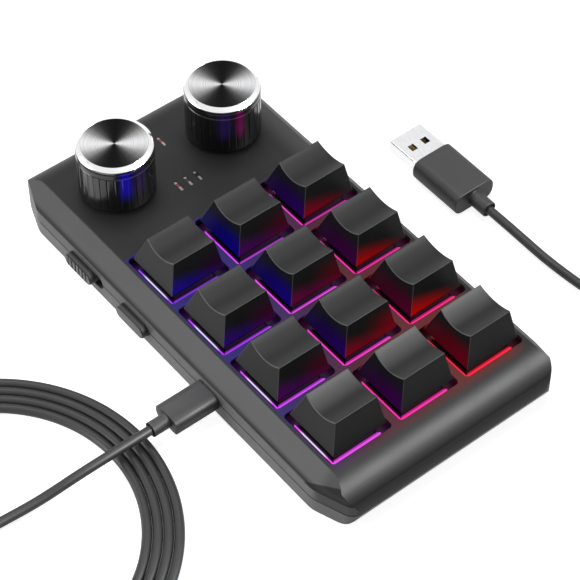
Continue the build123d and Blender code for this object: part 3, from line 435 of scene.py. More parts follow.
def plated(name, dark, light, brush, rough):
    """Bright plated steel with faint drawn lines that run along a direction."""
    material = finish(name, Metallic=1.0)
    lines = speckle(material, drawn_line, places(material, brush), detail=3.0)
    shader_values(
        material,
        Base_Color=mixed(material, lines, dark, light),
        Roughness=ranged(material, lines, rough, 1.6 * rough),
        Normal=raised(material, lines, drawn_relief),
    )
    return material


plug_steel = plated("plug_steel", (0.64, 0.64, 0.65), (0.8, 0.8, 0.81), brush=(1, 0.05, 1), rough=0.2)
case_steel = plated("case_steel", (0.55, 0.55, 0.56), (0.72, 0.72, 0.73), brush=(0.1, 1, 1), rough=0.3)
contact_gold = plated("contact_gold", (0.72, 0.5, 0.16), (0.86, 0.64, 0.25), brush=(1, 0.05, 1), rough=0.22)
insert_plastic = moulded(
    "insert_plastic", 0.018, 0.03,
    grain=0.2 * mm, depth=0.01 * mm, dull=0.6, shiny=0.5, gloss=0.4,
)
dress(nodes["usb_a_shell"], plug_steel)
dress(nodes["usb_c_plug_shell"], plug_steel)
dress(nodes["usb_a_contacts"], contact_gold)
dress(nodes["usb_a_insert"], insert_plastic)


# Lower cover: an injection-moulded tray in dark grey plastic with a matt eroded skin, on four
# pressed-in rubber feet and held by six black screws.
tray_plastic = moulded(
    "tray_plastic", (0.07, 0.07, 0.073), (0.086, 0.086, 0.089),
    grain=0.14 * mm, depth=0.014 * mm, dull=0.55, shiny=0.46, gloss=0.4,
)
foot_rubber = moulded(
    "foot_rubber", 0.012, 0.024,
    grain=0.3 * mm, depth=0.02 * mm, dull=0.85, shiny=0.7, gloss=0.3,
)
screw_steel = plated("screw_steel", 0.03, 0.06, brush=(1, 1, 1), rough=0.35)
dress(nodes["lower_cover"], tray_plastic)
dress(nodes["rubber_feet"], foot_rubber)
dress(nodes["case_screws"], screw_steel)


# Main board: green solder mask on glass laminate, with the socket, the two side switches and
# the encoders soldered to it, and a foil pouch cell taped behind them.
board_mask = moulded(
    "board_mask", (0.008, 0.04, 0.02), (0.014, 0.065, 0.032),
    grain=0.3 * mm, depth=0.01 * mm, dull=0.35, shiny=0.25, gloss=0.5,
)
cell_foil = plated("cell_foil", (0.52, 0.52, 0.54), (0.66, 0.66, 0.68), brush=(1, 0.2, 1), rough=0.3)
dress(nodes["main_board"], board_mask)
dress(nodes["battery"], cell_foil)
for node in ("usb_c_socket", "slide_switch", "button_switch", "encoder_housings"):
    dress(nodes[node], case_steel)
for side in ("left", "right"):
    dress(nodes[f"encoder_rotor_{side}"], insert_plastic)
    dress(nodes[f"encoder_shaft_{side}"], case_steel)


# Switch plate and switches: a punched steel sheet in black powder coat, with nylon housings
# clipped into it, acetal sliders and a wound steel spring under each slider.
key_rows = 4
key_columns = 3
key_pitch = 23.0 * mm
field_middle = (0.0, -18.55 * mm, 0.0)
spring_wire = 0.35 * mm
spring_radius = 2.25 * mm
spring_turns = 9
spring_turn_steps = 20
spring_sides = 2
key_places = {
    f"r{row + 1}c{column + 1}": Vector(
        ((column - 1) * key_pitch, field_middle[1] + (1.5 - row) * key_pitch, 0)
    )
    for row in range(key_rows)
    for column in range(key_columns)
}


def copied(name, first, place):
    """A copy of a piece with its own mesh, moved to its place."""
    piece = add_object(name, first.data.copy())
    piece.data.transform(Matrix.Translation(place))
    return piece


plate_coat = moulded(
    "plate_coat", (0.012, 0.012, 0.013), (0.022, 0.022, 0.024),
    grain=0.25 * mm, depth=0.02 * mm, dull=0.6, shiny=0.5, gloss=0.4,
)
switch_nylon = moulded(
    "switch_nylon", (0.03, 0.03, 0.032), (0.042, 0.042, 0.044),
    grain=0.2 * mm, depth=0.01 * mm, dull=0.5, shiny=0.4, gloss=0.4,
)
stem_acetal = moulded(
    "stem_acetal", (0.32, 0.06, 0.05), (0.4, 0.09, 0.07),
    grain=0.2 * mm, depth=0.01 * mm, dull=0.4, shiny=0.3, gloss=0.5,
)
spring_steel = plated("spring_steel", 0.5, 0.66, brush=(1, 1, 8), rough=0.3)
dress(nodes["switch_plate"], plate_coat)
dress(nodes["switch_lower_housings"], switch_nylon)
dress(nodes["switch_upper_housings"], switch_nylon)

spring_low, spring_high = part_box("key_springs")
spring_height = spring_high.z - spring_low.z
spring_steps = spring_turns * spring_turn_steps
spring_reach = spring_radius - spring_wire / 2
spring_points = []
for step in range(spring_steps + 1):
    turn = tau * step / spring_turn_steps
    climb = spring_wire / 2 + (spring_height - spring_wire) * step / spring_steps
    spring_points.append((spring_reach * cos(turn), spring_reach * sin(turn), spring_low.z + climb))
first_spring = round_line("first_spring", "POLY", spring_wire, spring_sides, spring_points)
take(first_spring)
bpy.ops.object.convert(target="MESH")
first_spring = bpy.context.object
bpy.ops.object.shade_smooth_by_angle(angle=radians(60))
dress(first_spring, spring_steel)
for name, place in key_places.items():
    spring = copied(f"spring_{name}", first_spring, place)
    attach(spring, "casing")
    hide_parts("key_springs")
    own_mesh(spring)
bpy.data.objects.remove(first_spring)


# Light guide: one clear acrylic sheet on the plate with a raised frame round each switch. The
# lights on the board make the frames glow, from violet on the left to red on the right.
frame_foot = 12.3 * mm
frame_outer = 8.15 * mm
frame_glow = 1.0
frame_line = 0.32 * mm
frame_fade = 0.08 * mm
frame_dim = 0.42
frame_rise = (frame_foot + 0.05 * mm, frame_foot + 0.15 * mm)
side_line_loss = 0.16 * mm
far_row_loss = 1.5 * mm
far_side_loss = 4.0 * mm
corner_arm = (7.8 * mm, 8.1 * mm)
hot_reach = (6.3 * mm, 3.8 * mm)
sheet_glow = 0.02
sheet_mottle = 1.5 * mm
sheet_grain = 0.3 * mm
sheet_relief = 0.01 * mm


def number(material, operation, first, *others):
    """Work out a number at each point of the surface, from its parts in turn."""
    for other in others or (0.0,):
        made = add_node(material, "Math", operation=operation)
        fill(material, made.node.inputs[0], first)
        fill(material, made.node.inputs[1], other)
        first = made
    return first


def scaled(material, value, factor, offset=0.0):
    """A number times a factor, plus an offset."""
    made = number(material, "MULTIPLY_ADD", value, factor)
    fill(material, made.node.inputs[2], offset)
    return made


def product(material, *values):
    """Several numbers multiplied together."""
    return number(material, "MULTIPLY", *values)


def most(material, *values):
    """The largest of several numbers."""
    return number(material, "MAXIMUM", *values)


def inverse(material, value):
    """What a share leaves of 1."""
    return number(material, "SUBTRACT", 1.0, value)


def unsigned(material, value):
    """A number without its sign."""
    return number(material, "ABSOLUTE", value)


def tones(material, value, *stops):
    """Colour at each point from a value between 0 and 1, through (position, colour) stops."""
    made = add_node(material, "ValToRGB", Fac=value)
    ramp = made.node.color_ramp
    while len(ramp.elements) < len(stops):
        ramp.elements.new(1.0)
    for element, (position, tone) in zip(ramp.elements, stops):
        element.position = position
        element.color = colour(tone)
    return made


def axes(material, middle=(0, 0, 0)):
    """The point's own place along X, Y and Z, each as a number in metres from a middle."""
    return add_node(material, "SeparateXYZ", Vector=places(material, middle=middle)).node.outputs


def nearest_step(material, along, offset):
    """Nearest of the steps of the key pitch along an axis, and the distance from its middle."""
    step = number(material, "ROUND", scaled(material, along, 1 / key_pitch, offset))
    return step, number(material, "ADD", scaled(material, step, -key_pitch, offset * key_pitch), along)


def walk_place(material, column, column_weight, row_step, steps):
    """Number from 0 to 1 that grows from the back left key towards the front right one."""
    walk = scaled(material, column, column_weight / steps, (column_weight + 1) / steps)
    return number(material, "ADD", walk, scaled(material, row_step, -1 / steps))


guide = finish("guide_acrylic", Roughness=0.35, IOR=1.49, Specular_IOR_Level=0.1)
x, y, z = axes(guide, field_middle)
column, off_x = nearest_step(guide, x, 0.0)
row_step, off_y = nearest_step(guide, y, -0.5)
wide = unsigned(guide, off_x)
deep = unsigned(guide, off_y)
along_row = number(guide, "GREATER_THAN", deep, wide)
along_side = inverse(guide, along_row)
left_half = number(guide, "LESS_THAN", off_x, 0.0)
front_half = number(guide, "LESS_THAN", off_y, 0.0)
line_reach = number(guide, "ADD", most(guide, wide, deep), scaled(guide, along_side, -side_line_loss))
line = share(guide, line_reach, frame_outer - frame_line - frame_fade, frame_outer - frame_line)
line = most(guide, line, product(guide, along_row, frame_dim))
far_row = product(guide, along_row, number(guide, "GREATER_THAN", off_y, 0.0))
far_side = product(guide, along_side, number(guide, "GREATER_THAN", off_x, 0.0))
arm_reach = number(
    guide,
    "ADD",
    number(guide, "MINIMUM", wide, deep),
    scaled(guide, far_row, far_row_loss),
    scaled(guide, far_side, far_side_loss),
)
near_corner = product(guide, left_half, front_half)
dark_corner = product(guide, share(guide, arm_reach, *corner_arm), inverse(guide, near_corner))
lit = product(guide, share(guide, z, *frame_rise), line, inverse(guide, dark_corner))
glow_colour = tones(
    guide,
    walk_place(guide, column, 2.0, row_step, 7),
    (0.0, (0.36, 0.05, 1.0)),
    (0.14, (0.48, 0.05, 1.0)),
    (0.29, (0.7, 0.07, 0.98)),
    (0.43, (0.86, 0.08, 0.88)),
    (0.57, (0.92, 0.05, 0.62)),
    (0.71, (0.96, 0.035, 0.42)),
    (0.86, (1.0, 0.025, 0.26)),
    (1.0, (1.0, 0.02, 0.06)),
)
first_column = number(guide, "LESS_THAN", column, -0.5)
hot = product(guide, first_column, left_half, along_side, share(guide, deep, *hot_reach), 0.8)
shader_values(
    guide,
    Base_Color=mixed(guide, speckle(guide, sheet_mottle), (0.012, 0.01, 0.016), (0.022, 0.019, 0.028)),
    Emission_Color=mixed(guide, hot, glow_colour, (0.82, 0.74, 1.0)),
    Emission_Strength=ranged(guide, lit, sheet_glow, frame_glow),
    Normal=raised(guide, speckle(guide, sheet_grain), sheet_relief),
)
dress(nodes["light_guide"], guide)


# Upper cover: the same moulded plastic as the tray, clipped over its lip. Light from below tints the ribs
# between the windows and the strip round them, as a painted glow. Its walls, bevels, crease, front roll,
# front left corner and seam carry painted light and shade.
field_half = (32.8 * mm, 44.3 * mm)
wall_top = 9.8 * mm
wall_edge = (wall_top - 0.05 * mm, wall_top + 0.05 * mm)
crease_edge = (wall_top + 0.15 * mm, wall_top + 0.45 * mm)
crease_fade = (11.7 * mm, wall_top + 0.2 * mm)
cover_top = 16.3 * mm
cover_ends = (90.0 * mm, -55.0 * mm)
roll_start = (-43.5 * mm, -47.5 * mm)
roll_shade = (9.0 * mm, 11.8 * mm)
ridge_rise = 1.0 * mm
ridge_run = (36.0 * mm, -20.0 * mm)
right_run = (26.0 * mm, 34.3 * mm)
right_length = (42.0 * mm, 50.0 * mm)
seam_top = 6.6 * mm
seam_fade = 0.3 * mm
corner_line = (-8.6 * mm, -0.4585)
corner_fade = (-0.1 * mm, 0.25 * mm)
corner_foot = (wall_top + 0.05 * mm, wall_top - 0.1 * mm)
corner_rise = (wall_top - 0.05 * mm, wall_top + 0.15 * mm)
corner_turn = (-0.25, -0.4)
left_turn = (-0.6, -0.72)
right_turn = (0.3, 0.6)
level_turn = (0.8, 0.9)
ring_spill = (0.2 * mm, 1.5 * mm)
front_spill = (0.0, 4.5 * mm)
right_spill = (34.0 * mm, 27.0 * mm)
top_spill = (cover_top - 0.5 * mm, cover_top - 0.1 * mm)
spill_walk = 7 * key_pitch
cover_mottle = 6 * mm
cover_grain = 0.14 * mm
cover_relief = 0.012 * mm


def painted(material, skin, *coats):
    """A colour with coats over it, each given by where it lies, how well it covers and its tone."""
    for where, strength, tone in coats:
        skin = mixed(material, scaled(material, where, strength), skin, tone)
    return skin


cover = finish("cover_plastic")
x, y, z = axes(cover, field_middle)
facing_x, facing_y, facing_z = facing(cover)
past_x = number(cover, "SUBTRACT", unsigned(cover, x), field_half[0])
past_y = number(cover, "SUBTRACT", unsigned(cover, y), field_half[1])
past_front = scaled(cover, y, -1.0, -field_half[1])
ring_light = inverse(cover, share(cover, most(cover, past_x, past_y), *ring_spill))
front_light = product(
    cover,
    inverse(cover, share(cover, past_front, *front_spill)),
    number(cover, "GREATER_THAN", past_front, 0.0),
    number(cover, "LESS_THAN", past_x, 0.0),
)
spill = product(
    cover,
    share(cover, z, *top_spill),
    most(cover, ring_light, front_light),
    share(cover, x, *right_spill),
)
spill_place = number(
    cover, "SUBTRACT", scaled(cover, x, 2.0 / spill_walk, 0.5), scaled(cover, y, 1.0 / spill_walk)
)
spill_colour = tones(
    cover,
    spill_place,
    (0.0, (0.014, 0.004, 0.15)),
    (0.22, (0.02, 0.008, 0.13)),
    (0.4, (0.04, 0.008, 0.065)),
    (0.55, (0.065, 0.006, 0.022)),
    (0.75, (0.1, 0.01, 0.013)),
    (1.0, (0.13, 0.01, 0.008)),
)
at_front = share(cover, y, *roll_start)
frontward = share(cover, y, *cover_ends)
# Painted light: the walls below the crease are painted lighter, more so towards the front.
wall_light = product(cover, share(cover, z, crease_edge[1], crease_edge[0]), inverse(cover, at_front))
wall_tone = mixed(cover, frontward, (0.074, 0.074, 0.075), (0.098, 0.098, 0.1))
# Painted shade in the crease just above the walls, weaker at the front.
crease_shade = product(
    cover,
    share(cover, z, *crease_fade),
    share(cover, z, *crease_edge),
    scaled(cover, at_front, -0.4, 1.0),
)
# Painted light: the left bevel is painted lighter, more so towards the front.
left_bevel = product(cover, share(cover, facing_x, *left_turn), share(cover, z, *wall_edge))
bevel_tone = mixed(cover, frontward, (0.043, 0.043, 0.044), (0.08, 0.08, 0.082))
right_bevel = share(cover, facing_x, *right_turn)
# Painted highlight: a strip of the top along the right edge, behind the keys, is painted lighter.
right_strip = product(
    cover,
    share(cover, x, *right_run),
    share(cover, y, *right_length),
    share(cover, facing_z, *level_turn),
)
# Painted shade on the low part of the front roll, and a painted highlight on the ridge above it that fades
# towards the right.
low_roll_shade = product(cover, at_front, share(cover, z, roll_shade[1], roll_shade[0]))
strip_light = product(
    cover,
    at_front,
    share(cover, z, roll_shade[1], roll_shade[1] + ridge_rise),
    share(cover, x, *ridge_run),
)
# Painted shade on the front left corner and on the left side next to it, with the corner's wall below
# painted lighter.
leftward = share(cover, facing_x, *corner_turn)
corner_facet = product(cover, leftward, share(cover, facing_y, *corner_turn))
corner_wall = product(cover, corner_facet, share(cover, z, *corner_foot))
corner_top = number(cover, "SUBTRACT", scaled(cover, y, corner_line[1], corner_line[0]), z)
corner_side = product(cover, share(cover, corner_top, *corner_fade), leftward)
corner_shade = product(
    cover, most(cover, corner_facet, corner_side), share(cover, z, *corner_rise)
)
cover_cloud = speckle(cover, cover_mottle, detail=4.0)
# Apart from the mottle, these coats paint light and shade: lighter walls, left bevel, right strip and front
# ridge; darker crease, low front roll, corner and seam.
cover_skin = painted(
    cover,
    mixed(cover, cover_cloud, (0.021, 0.021, 0.0215), (0.029, 0.029, 0.0295)),
    (wall_light, 1.0, wall_tone),
    (left_bevel, 1.0, bevel_tone),
    (right_strip, 1.0, (0.09, 0.09, 0.091)),
    (strip_light, 1.0, (0.04, 0.04, 0.041)),
    (crease_shade, 0.9, 0.005),
    (low_roll_shade, 0.85, 0.005),
    (corner_shade, 0.75, 0.005),
    (corner_wall, 1.0, (0.045, 0.045, 0.046)),
    # Painted shade along the seam with the tray.
    (share(cover, z, seam_top, seam_top - seam_fade), 0.6, 0.005),
    # Under the painted glow the colour is painted darker.
    (spill, 0.8, (0.004, 0.004, 0.005)),
)
# Less gloss in the painted shade and on the right bevel, so that they stay dark.
shade_gloss_cut = most(cover, crease_shade, corner_shade, right_bevel)
shader_values(
    cover,
    Base_Color=cover_skin,
    Specular_IOR_Level=scaled(cover, shade_gloss_cut, -0.1, 0.16),
    Roughness=ranged(cover, cover_cloud, 0.5, 0.42),
    Emission_Color=spill_colour,
    Emission_Strength=spill,
    Normal=raised(cover, speckle(cover, cover_grain), cover_relief),
)
dress(nodes["upper_cover"], cover)


# Keycaps: hollow mouldings whose four walls lean in, with a scooped top and slightly rounded edges that
# carry a painted highlight. Each is pushed on the cross of its slider, and takes a painted glow of the
# keys' light on its flanks, with painted light and shade on its walls and scoop.
cap_size = 18.0 * mm
cap_foot = 17.3 * mm
cap_rise = 8.9 * mm
cap_top_front = 5.82 * mm
cap_top_back = 8.13 * mm
cap_top_side = 5.92 * mm
cap_scoop = 1.5 * mm
cap_wall = 1.3 * mm
cap_hollow = 6.0 * mm
cap_edge = 0.28 * mm
cap_sliver = 0.1 * mm
scoop_sides = 160
socket_sides = 32
socket_radius = 2.75 * mm
socket_foot = 17.9 * mm


def weld(piece, distance):
    """Merge those points of a piece that lie closer than a distance."""
    take(piece)
    bpy.ops.object.mode_set(mode="EDIT")
    bpy.ops.mesh.select_all(action="SELECT")
    bpy.ops.mesh.remove_doubles(threshold=distance)
    bpy.ops.object.mode_set(mode="OBJECT")


top_share = (cap_top_front + cap_top_back) / cap_size
side_share = 2 * cap_top_side / cap_size
top_shift = (cap_top_back - cap_top_front) / 2
hollow_share = cap_hollow / cap_rise
deselect()
bpy.ops.mesh.primitive_cube_add(
    size=1, location=(0, 0, cap_foot + cap_rise / 2), scale=(cap_size, cap_size, cap_rise)
)
first_cap = bpy.context.object
bpy.ops.object.transform_apply()
bpy.ops.object.mode_set(mode="EDIT")
pick("faces", lambda face: face.normal.z > aligned)
bpy.ops.transform.resize(
    value=(top_share, side_share, 1), center_override=(0, 0, cap_foot + cap_rise)
)
bpy.ops.transform.translate(value=(top_shift, 0, 0))
pick("faces", lambda face: face.normal.z < -aligned)
bpy.ops.mesh.inset(thickness=cap_wall)
bpy.ops.mesh.extrude_region_move(TRANSFORM_OT_translate={"value": (0, 0, cap_hollow)})
bpy.ops.transform.resize(
    value=(1 - hollow_share * (1 - top_share), 1 - hollow_share * (1 - side_share), 1),
    center_override=(0, 0, cap_foot + cap_hollow),
)
bpy.ops.transform.translate(value=(top_shift * hollow_share, 0, 0))

scoop_radius = (cap_top_side**2 + cap_scoop**2) / (2 * cap_scoop)
deselect()
bpy.ops.mesh.primitive_cylinder_add(
    vertices=scoop_sides,
    radius=scoop_radius,
    depth=2 * cap_size,
    location=(0, 0, cap_foot + cap_rise - cap_scoop + scoop_radius),
    rotation=(0, pi / 2, 0),
)
cut_or_join(first_cap, bpy.context.object, "DIFFERENCE")
weld(first_cap, cap_sliver)
deselect()
socket_top = cap_foot + cap_hollow + cap_edge
bpy.ops.mesh.primitive_cylinder_add(
    vertices=socket_sides,
    radius=socket_radius,
    depth=socket_top - socket_foot,
    location=(0, 0, (socket_top + socket_foot) / 2),
)
cut_or_join(first_cap, bpy.context.object, "UNION")
soften(first_cap, cap_edge, segments=3)

glow_reach = 7.0 * mm
glow_height = 7.5 * mm
side_near = (-5.0 * mm, 9.0 * mm)
low_foot = (cap_foot, cap_foot + 0.9 * mm)
right_height = (cap_foot + 8.5 * mm, cap_foot + 2.0 * mm)
scoop_back = (-1.5 * mm, 6.0 * mm)
scoop_front = (-0.5 * mm, -6.0 * mm)
ridge_turn = (0.2, 0.45)
upright_turn = (0.75, 0.5)
top_turn = (0.5, 0.85)
rim_low = (0.38, 0.5)
rim_high = (0.9, 0.7)
side_fade = (1.0, 0.2)
low_fade = (0.0, 1.05)
low_slope = (-0.62, 0.95)
right_fade = (0.5, 1.0)
right_width = (0.35, 0.95)
cap_mottle = 5 * mm
cap_grain = 0.12 * mm
cap_relief = 0.01 * mm


def glow_of(material, *parts):
    """Light of several colours together, each part given by its amount and its colour."""
    glow = (0.0, 0.0, 0.0)
    for amount, tone in parts:
        made = add_node(material, "VectorMath", operation="MULTIPLY_ADD")
        for socket, value in zip(made.node.inputs, (tone, amount, glow)):
            fill(material, socket, value)
        glow = made
    return glow


caps = finish("cap_plastic")
x, y, z = axes(caps, field_middle)
facing_x, facing_y, facing_z = facing(caps)
side_turn = unsigned(caps, facing_x)
front_turn = unsigned(caps, facing_y)
column, off_x = nearest_step(caps, x, 0.0)
row_step, off_y = nearest_step(caps, y, -0.5)
gap_x = nearest_step(caps, number(caps, "ADD", x, scaled(caps, facing_x, glow_reach)), -0.5)[0]
gap_y = nearest_step(caps, number(caps, "ADD", y, scaled(caps, facing_y, glow_reach)), 0.0)[0]
between_columns = number(caps, "LESS_THAN", unsigned(caps, scaled(caps, gap_x, 1.0, 0.5)), 1.0)
between_rows = number(caps, "LESS_THAN", unsigned(caps, gap_y), 1.5)
is_side = number(caps, "GREATER_THAN", side_turn, front_turn)
upright = share(caps, facing_z, *upright_turn)
in_gap = product(caps, is_side, between_columns, upright)
on_front = product(caps, inverse(caps, is_side), between_rows, upright)
height = share(caps, z, cap_foot, cap_foot + glow_height)
height.node.interpolation_type = "LINEAR"
rightward = share(caps, off_x, -cap_size / 2, cap_size / 2)
rightward.node.interpolation_type = "LINEAR"

# Painted glow: the keys' light is painted as emission on the side walls that face a gap between columns,
# fading upwards and backwards.
nearness = add_node(
    caps, "MapRange", Value=off_y, From_Min=side_near[0], From_Max=side_near[1], To_Min=1.0, To_Max=0.3
)
side_light = product(caps, in_gap, nearness, share(caps, height, *side_fade))
side_tones = tones(
    caps,
    walk_place(caps, gap_x, 2.2, row_step, 5.2),
    (0.0, (0.002, 0.0, 0.13)),
    (0.2, (0.005, 0.0, 0.12)),
    (0.4, (0.011, 0.0, 0.062)),
    (0.61, (0.026, 0.0, 0.032)),
    (0.78, (0.042, 0.0, 0.012)),
    (1.0, (0.085, 0.0, 0.005)),
)
low_reach = scaled(caps, rightward, *low_slope)
last_column = number(caps, "GREATER_THAN", column, 0.5)
last_dim = product(caps, last_column, share(caps, rightward, *right_fade))
# Painted glow low on the front and back walls that face a gap between rows, fading towards the right in the
# last column.
low_light = product(
    caps,
    on_front,
    share(caps, number(caps, "SUBTRACT", low_reach, height), *low_fade),
    share(caps, z, *low_foot),
    scaled(caps, last_dim, -0.85, 1.0),
)
front_walk = walk_place(caps, column, 2.0, gap_y, 6)
low_tones = tones(
    caps,
    front_walk,
    (0.0, (0.01, 0.001, 0.22)),
    (0.17, (0.02, 0.0, 0.13)),
    (0.33, (0.05, 0.0, 0.08)),
    (0.5, (0.1, 0.0, 0.038)),
    (0.67, (0.18, 0.0, 0.01)),
    (0.83, (0.32, 0.0, 0.001)),
    (1.0, (0.4, 0.0, 0.0)),
)
# Painted glow on the right part of the front and back walls in the first column.
right_light = product(
    caps,
    on_front,
    number(caps, "LESS_THAN", column, 0.5),
    share(caps, rightward, *right_width),
    share(caps, z, *right_height),
)
right_tones = tones(
    caps,
    front_walk,
    (0.0, (0.01, 0.0, 0.012)),
    (0.17, (0.022, 0.0, 0.01)),
    (0.33, (0.034, 0.0, 0.007)),
    (0.5, (0.052, 0.0, 0.004)),
    (0.67, (0.095, 0.0, 0.003)),
    (1.0, (0.12, 0.0, 0.0)),
)
# Where the glow is painted, the colour under it is painted darker as shade.
shaded = most(caps, side_light, low_light, right_light)
cap_cloud = speckle(caps, cap_mottle, detail=4.0)
# Painted light across the scoop: lighter towards its back and front edges, and much lighter at the back of
# the caps in the last row.
back_rise = share(caps, off_y, *scoop_back)
front_rise = share(caps, off_y, *scoop_front)
scoop_tone = most(caps, back_rise, scaled(caps, front_rise, 0.6))
last_row = number(caps, "LESS_THAN", row_step, -1.5)
top_skin = mixed(caps, scoop_tone, (0.025, 0.025, 0.0255), (0.054, 0.054, 0.055))
top_skin = mixed(caps, product(caps, last_row, back_rise), top_skin, (0.17, 0.17, 0.172))
# Painted shade on the walls: darker than the tops, the front and back walls darker than the side walls, and
# the side walls that face a gap between columns as dark as the front ones.
side_skin = mixed(caps, is_side, (0.006, 0.006, 0.0065), (0.022, 0.022, 0.0225))
side_skin = mixed(caps, in_gap, side_skin, (0.006, 0.006, 0.007))
# Painted highlight along the rounded edges round the top and down the corners.
rim = product(caps, share(caps, facing_z, *rim_low), share(caps, facing_z, *rim_high))
ridge = product(caps, share(caps, side_turn, *ridge_turn), share(caps, front_turn, *ridge_turn))
cap_skin = painted(
    caps,
    mixed(caps, share(caps, facing_z, *top_turn), side_skin, top_skin),
    (shaded, 0.9, (0.003, 0.003, 0.004)),
    (cap_cloud, 0.15, (0.024, 0.024, 0.0245)),
    (most(caps, rim, scaled(caps, ridge, 0.6)), 1.0, (0.12, 0.12, 0.122)),
)
# Less gloss where the glow and the shade in the gaps are painted.
shader_values(
    caps,
    Base_Color=cap_skin,
    Specular_IOR_Level=scaled(caps, most(caps, shaded, in_gap), -0.09, 0.12),
    Roughness=ranged(caps, cap_cloud, 0.48, 0.38),
    Emission_Color=glow_of(
        caps, (side_light, side_tones), (low_light, low_tones), (right_light, right_tones)
    ),
    Emission_Strength=1.0,
    Normal=raised(caps, speckle(caps, cap_grain), cap_relief),
)
dress(first_cap, caps)

for name, place in key_places.items():
    cap = copied(f"cap_{name}", first_cap, place)
    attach(cap, f"key_{name}")
    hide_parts(f"keycap_{name}")
    dress(nodes[f"switch_stem_{name}"], stem_acetal)
bpy.data.objects.remove(first_cap)


# Knobs: gloss black mouldings with flat lands between narrow upright flutes, a rounded foot
# and a smooth collar. The hub inside grips the flatted shaft of the encoder.
knob_places = {"left": Vector((-18.9 * mm, 50.35 * mm, 0)), "right": Vector((18.9 * mm, 50.35 * mm, 0))}
knob_radius = 11.1 * mm
flute_count = 34
flute_sides = 12
flute_low = 20.6 * mm
flute_high = 30.3 * mm
flute_depth_shares = (1.0, 0.72, 0.0)
flute_depth = 0.17 * mm
flute_slack = 0.05 * mm
band_height = (20.5 * mm, 27.0 * mm)
knob_smear = 4 * mm
knob_grain = 0.5 * mm
knob_relief = 0.002 * mm
key_bands = {
    "left": [(-110, 15, (0.004, 0.0, 0.26)), (-86, 16, (0.01, 0.002, 0.035))],
    "right": [(-124, 17, (0.009, 0.002, 0.04)), (-100, 12, (0.085, 0.0, 0.045))],
}
knob_outline = [
    (2.98, 30.8), (2.98, 18.5), (4.7, 18.5), (4.7, 30.8), (9.5, 30.8), (9.5, 17.3),
    (9.7, 17.1), (10.3, 17.1), (10.65, 17.2), (10.93, 17.45), (11.07, 17.8), (11.1, 18.1),
    (11.1, 18.3), (11.1, 20.6), (11.1, 30.3), (11.1, 30.5), (11.02, 30.62), (10.96, 30.72),
    (11.02, 30.82), (11.1, 30.94), (11.1, 32.3), (11.04, 32.44), (10.8, 32.5), (10.75, 32.55),
    (10.75, 32.8), (5.0, 32.8),
]


def turned(name, outline, sides):
    """Turn an outline of radius and height pairs, in millimetres, about an upright axis."""
    deselect()
    radius, height = (part * mm for part in outline[0])
    bpy.ops.mesh.primitive_circle_add(
        vertices=sides, radius=radius, location=(0, 0, height), fill_type="NGON"
    )
    piece = bpy.context.object
    piece.name = name
    bpy.ops.object.transform_apply()
    bpy.ops.object.mode_set(mode="EDIT")
    bpy.ops.mesh.select_mode(type="EDGE")
    bpy.ops.mesh.select_all(action="SELECT")
    bpy.ops.mesh.region_to_loop()
    for (radius, height), (next_radius, next_height) in zip(outline, outline[1:]):
        climb = (next_height - height) * mm
        bpy.ops.mesh.extrude_region_move(TRANSFORM_OT_translate={"value": (0, 0, climb)})
        spread = next_radius / radius
        bpy.ops.transform.resize(value=(spread, spread, 1), center_override=(0, 0, next_height * mm))
    bpy.ops.mesh.edge_face_add()
    bpy.ops.mesh.select_all(action="SELECT")
    bpy.ops.mesh.normals_make_consistent(inside=False)
    bpy.ops.object.mode_set(mode="OBJECT")
    return piece


def near_line(material, value, line, fade):
    """1 where a value is close to a line's, fading out between two distances from it."""
    return share(material, unsigned(material, number(material, "SUBTRACT", value, line)), *fade)


def gloss_black(name, middle, *bands):
    """Gloss black plastic that takes soft upright bands of the keys' light.

    Each band has an angle about the knob's middle, a width in degrees and a colour.
    """
    material = finish(name, Specular_IOR_Level=0.4)
    smear = speckle(material, knob_smear, detail=3.0)
    x, y, z = axes(material, middle)
    around = number(material, "ARCTAN2", y, x)
    upper = share(material, z, *band_height)
    parts = []
    # Each band is a painted reflection of the keys' light, laid on as a glow on the upper part of the knob.
    for angle, width, tone in bands:
        band = near_line(material, around, radians(angle), (radians(width), 0.0))
        parts.append((product(material, upper, band), tone))
    shader_values(
        material,
        Base_Color=mixed(material, smear, (0.007, 0.007, 0.008), (0.013, 0.013, 0.014)),
        Roughness=ranged(material, smear, 0.22, 0.12),
        Emission_Color=glow_of(material, *parts),
        Emission_Strength=1.0,
        Normal=raised(material, speckle(material, knob_grain), knob_relief),
    )
    return material


first_knob = turned("knob_body", knob_outline, flute_count * flute_sides)
land_half = pi / flute_count * (flute_sides - 2 * (len(flute_depth_shares) - 1)) / flute_sides
for vertex in first_knob.data.vertices:
    spot = vertex.co
    if Vector((spot.x, spot.y)).length < knob_radius - flute_slack:
        continue
    if not flute_low - flute_slack < spot.z < flute_high + flute_slack:
        continue
    turn = Vector((spot.x, spot.y)).angle_signed(Vector((1, 0)))
    step = round(turn / tau * flute_count * flute_sides) % flute_sides
    from_flute = min(step, flute_sides - step)
    if from_flute < len(flute_depth_shares):
        reach = knob_radius - flute_depth * flute_depth_shares[from_flute]
    else:
        off_land = (flute_sides / 2 - from_flute) * tau / flute_count / flute_sides
        reach = knob_radius * cos(land_half) / cos(off_land)
    spot.x *= reach / knob_radius
    spot.y *= reach / knob_radius
take(first_knob)
bpy.ops.object.shade_smooth_by_angle(angle=radians(18))
for side, place in knob_places.items():
    knob = copied(f"knob_body_{side}", first_knob, place)
    dress(knob, gloss_black(f"knob_plastic_{side}", tuple(place), *key_bands[side]))
    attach(knob, f"dial_{side}")
    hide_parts(f"knob_{side}")
bpy.data.objects.remove(first_knob)


